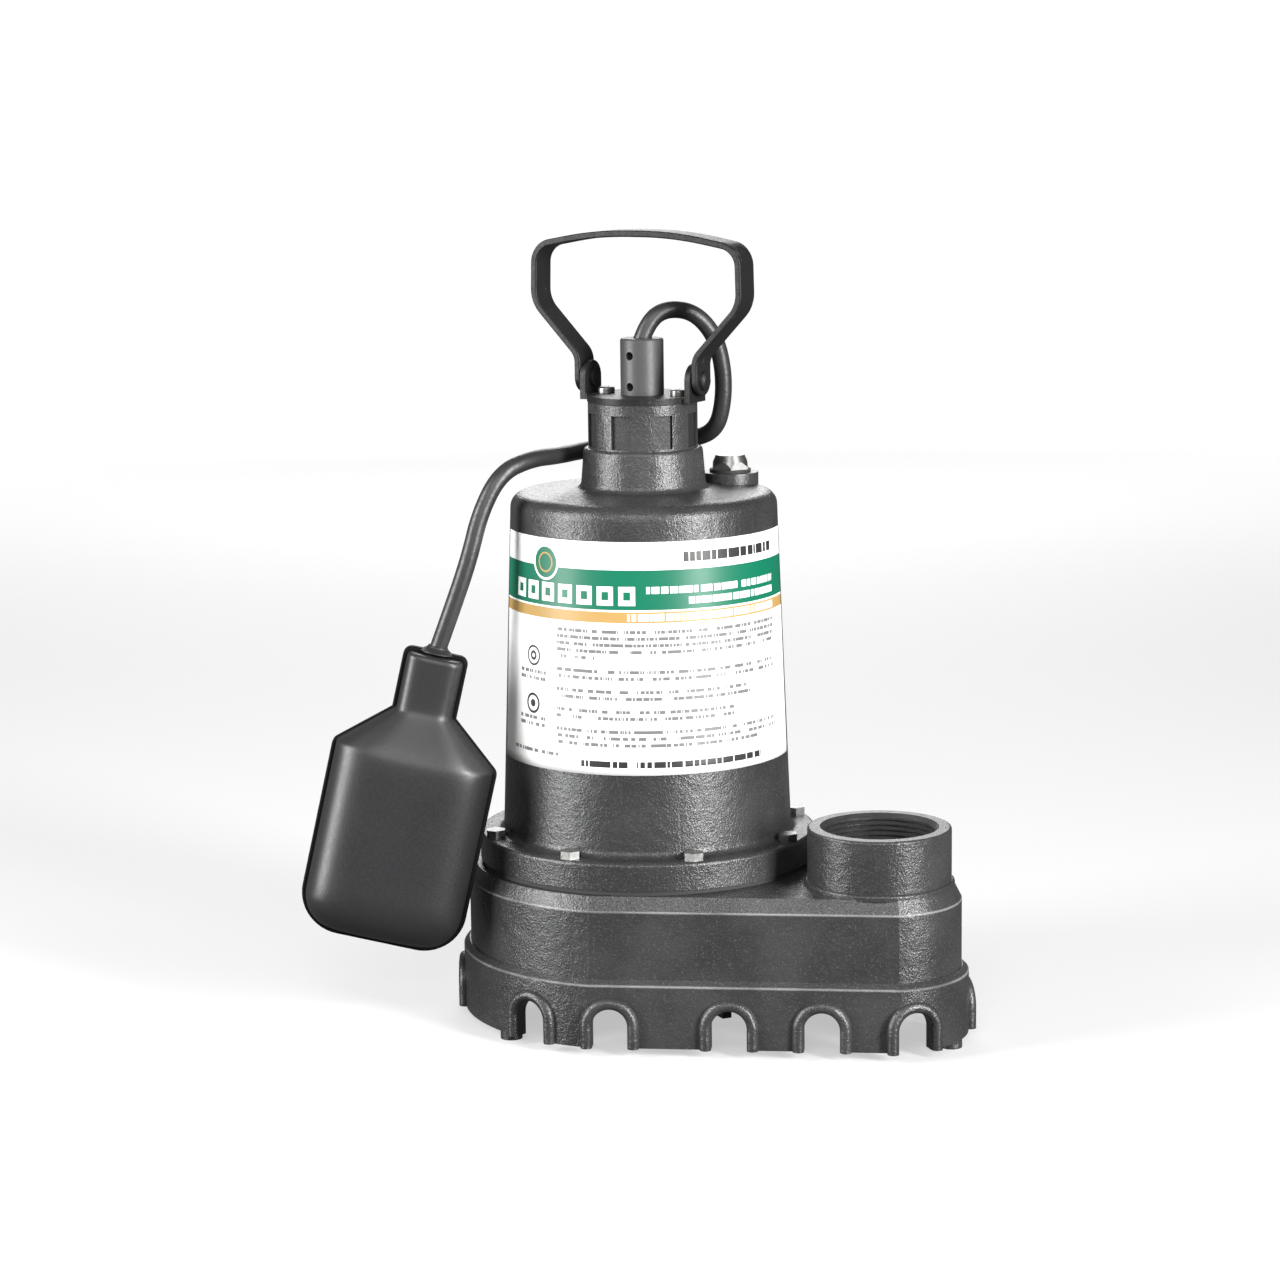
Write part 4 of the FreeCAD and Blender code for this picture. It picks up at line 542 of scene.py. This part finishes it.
def cast_iron():
    """Charcoal paint over a sand casting: rounded grains just under a millimetre, shallow dents, tone that
    drifts, thin painted highlight lines where the volute's and the skirt's corners stand proud, and painted
    shade in the neck's pockets."""
    finish = Finish("cast_iron_body", ior=1.5)
    grain = finish.noise(0.85 * MM, 2.0, 0.6)
    dents = finish.noise(4.0 * MM, 2.0)
    drift = finish.noise(30 * MM, 3.0)
    patches = finish.ramp(drift, (0.35, 0.0), (0.68, 1.0))
    tone = finish.mix(patches, (0.020, 0.0202, 0.021), (0.033, 0.0333, 0.0342))
    dusty = finish.mix(finish.ramp(grain, (0.50, 0.0), (0.75, 0.6)), tone, (0.075, 0.075, 0.076))
    across, back, height = finish.axis("X") - MOTOR_X, finish.axis("Y"), finish.axis("Z")
    radius = (across * across + back * back) ** 0.5
    pocket = (height > POCKET_HEIGHTS[0]) * (height < POCKET_HEIGHTS[1]) * (radius < POCKET_RADIUS)
    # painted shade: the neck's pockets are darkened in colour to stand for the shade in them
    pocket_painted_shade = finish.mix(pocket * 0.8, dusty, (0.006, 0.006, 0.006))
    # painted highlight: thin lighter lines along the volute's and the skirt's top corners stand for light caught
    # there
    wear_and_painted_highlight = sum(finish.ramp(abs(height - corner), *PAINTED_HIGHLIGHT_FADE) for corner in CAST_CORNERS)
    color = finish.mix(wear_and_painted_highlight * finish.ramp(drift, (0.30, 0.3), (0.60, 0.85)), pocket_painted_shade, (0.20, 0.20, 0.20))
    relief = finish.bump(grain, 0.23 * MM, under=finish.bump(dents, 0.26 * MM))
    shine = finish.ramp(grain, (0.35, 0.38), (0.65, 0.27)) + pocket * 0.25
    return finish.done(base_color=color, roughness=shine, normal=relief)


def machined_iron():
    """Turned grey iron: fine rings round the motor's axis and a little stain."""
    finish = Finish("machined_iron", metallic=0.9)
    stain = finish.noise(9 * MM, 3.0)
    rings = finish.noise(0.5 * MM, 1.0, vector=finish.places((0.15, 0.15, 1.0)))
    color = finish.mix(stain, (0.22, 0.22, 0.23), (0.38, 0.37, 0.36))
    return finish.done(base_color=color, roughness=rings * 0.2 + 0.3, normal=finish.bump(rings, 0.03 * MM))


def zinc():
    """Bright zinc plate with a faint warm bloom."""
    finish = Finish("zinc_fastener", metallic=1.0)
    bloom = finish.noise(2.5 * MM, 3.0)
    color = finish.mix(bloom, (0.17, 0.169, 0.164), (0.34, 0.337, 0.328))
    return finish.done(base_color=color, roughness=bloom * 0.25 + 0.26, normal=finish.bump(bloom, 0.05 * MM))


def black_paint():
    """Black satin paint on strip steel: a slight orange peel and rubbed spots."""
    finish = Finish("steel_dark", ior=1.3)
    peel = finish.noise(1.8 * MM, 2.0)
    wear_and_painted_highlight = finish.noise(7 * MM, 4.0, 0.6)
    spots = finish.ramp(wear_and_painted_highlight, (0.62, 0.0), (0.72, 0.7))
    color = finish.mix(spots, (0.010, 0.010, 0.0105), (0.040, 0.040, 0.042))
    return finish.done(base_color=color, roughness=peel * 0.25 + 0.32, normal=finish.bump(peel, 0.10 * MM))


def ground_steel(name, color, roughness=0.25, streak=(1.0, 1.0, 14.0)):
    """Ground or drawn metal: streaks stretched along one direction."""
    finish = Finish(name, metallic=1.0)
    streaks = finish.noise(2.2 * MM, 2.0, vector=finish.places(streak))
    light = tuple(min(1.0, part * 1.2) for part in color)
    return finish.done(base_color=finish.mix(streaks, color, light), roughness=streaks * 0.18 + roughness,
                       normal=finish.bump(streaks, 0.02 * MM))


def laminations():
    """A stack of thin varnished steel sheets, each half a millimetre."""
    finish = Finish("electrical_steel", metallic=0.85)
    sheet = (finish.axis("Z") * (1.0 / (0.5 * MM))).fraction()
    gap = finish.ramp(abs(sheet - 0.5), (0.30, 0.0), (0.48, 1.0))
    color = finish.mix(gap, (0.30, 0.31, 0.34), (0.10, 0.10, 0.11))
    return finish.done(base_color=color, roughness=gap * 0.3 + 0.35, normal=finish.bump(1.0 - gap, 0.1 * MM))


def copper_wire():
    """Wound enamelled wire: strands of about a millimetre that lie mostly round the axis."""
    finish = Finish("copper_winding", metallic=0.9, coat_weight=0.5)
    strand = finish.noise(0.9 * MM, 1.0, vector=finish.places((0.25, 0.25, 1.0)))
    color = finish.mix(strand, (0.45, 0.17, 0.06), (0.80, 0.38, 0.17))
    return finish.done(base_color=color, roughness=strand * 0.2 + 0.25, normal=finish.bump(strand, 0.25 * MM))


def plain_moulding(name, dark, light, roughness=0.5, size=1.2, depth=0.03, sheen=0.0, ior=1.5):
    """Moulded plastic or rubber: a fine spark-eroded texture over slow changes of tone."""
    finish = Finish(name, coat_weight=sheen, ior=ior)
    texture = finish.noise(size * MM, 2.0)
    drift = finish.noise(22 * MM, 2.0)
    return finish.done(base_color=finish.mix(drift, dark, light), roughness=texture * 0.22 + roughness,
                       normal=finish.bump(texture, depth * MM))


LABEL_HIGH = 96.0
LABEL_WIDE = 2 * LABEL_HALF_ANGLE * 59.3
WHITE = (0.80, 0.80, 0.79)
GREEN = (0.0, 0.120, 0.064)
GOLD = (0.38, 0.235, 0.075)
INK = (0.02, 0.02, 0.02)
SMALL_ROW = 2.75
GREEN_BAND = (68.2, 84.5)
GOLD_BAND = (62.9, 67.4)
# Small print: left and right ends, lowest and highest row.
SMALL_PRINT = [
    (40, 146, 18, 21), (40, 58, 17, 17), (40, 146, 14, 15), (40, 128, 11, 12), (40, 118, 8, 9),
    (40, 146, 5, 6), (40, 131, 4, 4), (17, 34, 13, 14), (17, 34, 6, 7), (12, 41, 2, 2),
]


def printed_film():
    """White film with a green and a gold band and rows of plain dashes that stand for small print. Places
    on it are millimetres from its left edge and its bottom edge."""
    finish = Finish("label_film", roughness=0.42, ior=1.45)
    where = finish.node("ShaderNodeUVMap", {"uv_map": "film"})
    across = finish.axis("X", where) * LABEL_WIDE
    up = finish.axis("Y", where) * LABEL_HIGH

    def between(value, low, high):
        return (value > low) * (value < high)

    def patch(left, right, bottom, top):
        return between(across, left, right) * between(up, bottom, top)

    def marks(row_height, word, share, bottom=0.0):
        """Rows of marks over the whole film: noise along a row breaks it into words, and finer noise
        breaks those into upright strokes; both differ from row to row."""
        row = (up - bottom) / row_height
        along = across / word + row.floor() * 7.31
        spot = finish.node("ShaderNodeCombineXYZ", inputs={0: along, 1: row.floor() * 3.7})
        stroke = finish.node("ShaderNodeCombineXYZ", inputs={0: along * 5.0, 1: row.floor() * 5.1})
        line = between(row.fraction(), 0.5 - share / 2, 0.5 + share / 2)
        return line * (finish.noise(1.0, 0.0, 0.0, spot) > 0.36) * (finish.noise(1.0, 0.0, 0.0, stroke) > 0.40)

    def ring(middle, height, outer, inner):
        away = ((across - middle) ** 2.0 + (up - height) ** 2.0) ** 0.5
        return (away < outer) * (away > inner)

    small = marks(SMALL_ROW, 3.6, 0.52)
    text = sum(patch(left, right, low * SMALL_ROW, (high + 1) * SMALL_ROW)
               for left, right, low, high in SMALL_PRINT)
    color = finish.mix(small * text * 0.85, WHITE, INK)
    color = finish.mix(marks(5.6, 7.0, 0.46, 1.6) * patch(52, 133, 1.6, 7.2), color, INK)
    color = finish.mix(marks(6.4, 7.0, 0.62, 86.4) * patch(96, 146.5, 86.4, 92.8), color, INK)
    color = finish.mix(ring(26.0, 46.5, 4.3, 3.4) + ring(26.0, 46.5, 2.0, 0.9), color, INK)
    color = finish.mix(ring(26.0, 26.5, 4.3, 3.2) + ring(26.0, 26.5, 1.6, 0.0), color, INK)
    color = finish.mix(patch(0.0, LABEL_WIDE, *GREEN_BAND), color, GREEN)
    color = finish.mix(patch(0.0, LABEL_WIDE, *GOLD_BAND), color, GOLD)
    color = finish.mix(ring(33.0, 86.0, 7.4, 0.0), color, WHITE)
    color = finish.mix(ring(33.0, 86.0, 6.4, 0.0), color, GREEN)
    color = finish.mix(ring(33.0, 86.0, 4.2, 3.5), color, GOLD)
    block = (across - 12.5) / 9.3
    letter = between(block.fraction(), 0.0, 0.76) * patch(12.5, 77.0, 70.0, 77.8)
    opening = between(block.fraction(), 0.22, 0.54) * patch(12.5, 77.0, 72.2, 75.6)
    color = finish.mix(letter * (1.0 - opening), color, WHITE)
    side_lines = patch(80, 146.5, 74.0, 78.6) + patch(98, 146.5, 69.4, 74.0)
    color = finish.mix(marks(4.6, 6.5, 0.62, 69.4) * side_lines, color, WHITE)
    color = finish.mix(marks(4.5, 6.5, 0.66, 62.9) * patch(72, 146.5, *GOLD_BAND), color, WHITE)
    return finish.done(base_color=color)


FINISHES = {
    "cast_iron_body": cast_iron(),
    "machined_iron": machined_iron(),
    "zinc_fastener": zinc(),
    "steel_dark": black_paint(),
    "shaft_steel": ground_steel("shaft_steel", (0.50, 0.50, 0.51)),
    "bearing_steel": ground_steel("bearing_steel", (0.66, 0.66, 0.68), 0.1),
    "electrical_steel": laminations(),
    "copper_winding": copper_wire(),
    "cast_aluminium": ground_steel("cast_aluminium", (0.62, 0.62, 0.63), 0.4, (1.0, 1.0, 1.0)),
    "gasket_rubber": plain_moulding("gasket_rubber", (0.012, 0.012, 0.012), (0.022, 0.022, 0.022), 0.6),
    "seal_ceramic": plain_moulding("seal_ceramic", (0.70, 0.68, 0.62), (0.80, 0.79, 0.74), 0.15, sheen=0.5),
    "seal_carbon": plain_moulding("seal_carbon", (0.02, 0.02, 0.021), (0.035, 0.035, 0.036), 0.3),
    "impeller_brass": plain_moulding("impeller_brass", (0.08, 0.08, 0.085), (0.15, 0.15, 0.155),
                                     roughness=0.4, size=1.6, depth=0.2),
    "label_film": printed_film(),
    "sleeve_plastic": plain_moulding("sleeve_plastic", (0.036, 0.036, 0.037), (0.052, 0.052, 0.053),
                                     roughness=0.36, size=1.0, depth=0.04),
    "cord_rubber": plain_moulding("cord_rubber", (0.015, 0.015, 0.016), (0.026, 0.026, 0.027),
                                  roughness=0.3, size=1.4, depth=0.08),
    "float_plastic": plain_moulding("float_plastic", (0.013, 0.013, 0.014), (0.02, 0.02, 0.021),
                                    roughness=0.3, size=1.1, depth=0.02),
    # painted shade: the seam's finish is a darker copy of the float's plastic, standing for the shade on its
    # sideways faces
    "float_seam": plain_moulding("float_seam", (0.003, 0.003, 0.003), (0.006, 0.006, 0.006), 0.42, ior=1.15),
    "inner_plastic": plain_moulding("inner_plastic", (0.38, 0.34, 0.26), (0.46, 0.42, 0.33), 0.4),
    "capacitor_can": ground_steel("capacitor_can", (0.55, 0.55, 0.57), 0.3, (1.0, 1.0, 0.1)),
}


def dress(piece, slot):
    """Gives a piece one finish in place of what it has."""
    piece.data.materials.clear()
    piece.data.materials.append(FINISHES[slot])


for part in frame["record"]["subparts"]:
    dress(frame["nodes"][part["node"]], part["material_slot"])
for piece in [cord, label] + float_pieces:
    dress(piece, piece["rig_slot"])
# painted shade: the rim gets the darker copy of the float's plastic
dress(float_rim, "float_seam")

# ---------------------------------------------------------------- floor, sweep and lights

FLOOR_REACH = 2.6
SWEEP_RADIUS = 1.6
FLOOR_SIDES = 96
# The backdrop lights itself a little, more so far away: squared distance, and the light there.
GLOW_NEAR = (0.4, 0.50)
GLOW_FAR = (5.0, 0.93)


def make_floor():
    """A pale round floor whose edge curves up all round: circles that grow evenly, then follow a quarter
    circle upwards."""
    flat = np.linspace(0.02, FLOOR_REACH, 12)
    curve = np.linspace(0.0, np.pi / 2, 24)[1:]
    radius = np.concatenate([flat, FLOOR_REACH + SWEEP_RADIUS * np.sin(curve)])
    height = np.concatenate([flat * 0.0, SWEEP_RADIUS * (1 - np.cos(curve))])
    ring = radius[:, None, None] * circle(FLOOR_SIDES)
    level = np.broadcast_to(height[:, None, None], (len(radius), FLOOR_SIDES, 1))
    rings = np.concatenate([ring, level], axis=-1)
    faces = grid_faces(len(radius), FLOOR_SIDES).tolist() + [list(range(FLOOR_SIDES))]
    floor = object_from("floor", rings, faces)
    paper = Finish("paper", roughness=0.8, emission_strength=1.0)
    across, back = paper.axis("X"), paper.axis("Y")
    glow = paper.ramp(across * across + back * back, GLOW_NEAR, GLOW_FAR)
    tone = paper.mix(paper.noise(0.4), (0.30, 0.30, 0.30), (0.32, 0.32, 0.32))
    floor.data.materials.append(paper.done(base_color=tone, emission_color=glow))
    floor.visible_glossy = False
    floor.visible_diffuse = False


def softbox(name, azimuth, distance, height, wide, tall, power, aim_height=0.15):
    """A rectangular light at an azimuth round the motor's axis, facing it."""
    turn = math.radians(azimuth)
    data = bpy.data.lights.new(name, "AREA")
    data.shape = "RECTANGLE"
    data.size = wide
    data.size_y = tall
    data.energy = power
    light = bpy.data.objects.new(name, data)
    target = Vector((MOTOR_X, 0.0, aim_height))
    light.location = target + Vector((math.sin(turn) * distance, -math.cos(turn) * distance, height))
    light.rotation_euler = (target - light.location).to_track_quat("-Z", "Y").to_euler()
    bpy.context.scene.collection.objects.link(light)


make_floor()
AZIMUTH = math.degrees(VIEW_AZIMUTH)
softbox("left_box", AZIMUTH - 70, 1.3, 0.30, 0.50, 1.3, 40.0)
softbox("right_box", AZIMUTH + 46, 1.5, 0.30, 0.36, 1.2, 64.0)
softbox("top_box", AZIMUTH - 8, 1.25, 1.00, 0.55, 0.20, 6.0)
softbox("front_strip", AZIMUTH - 4, 1.3, 0.48, 0.50, 0.06, 3.0)
softbox("back_box", AZIMUTH + 180, 1.6, 0.7, 0.8, 1.0, 10.0)

world = bpy.data.worlds.new("studio")
world.use_nodes = True
world.node_tree.nodes["Background"].inputs["Color"].default_value = (1.0, 1.0, 1.0, 1.0)
world.node_tree.nodes["Background"].inputs["Strength"].default_value = 0.12
bpy.context.scene.world = world
bpy.context.scene.view_settings.view_transform = "Standard"
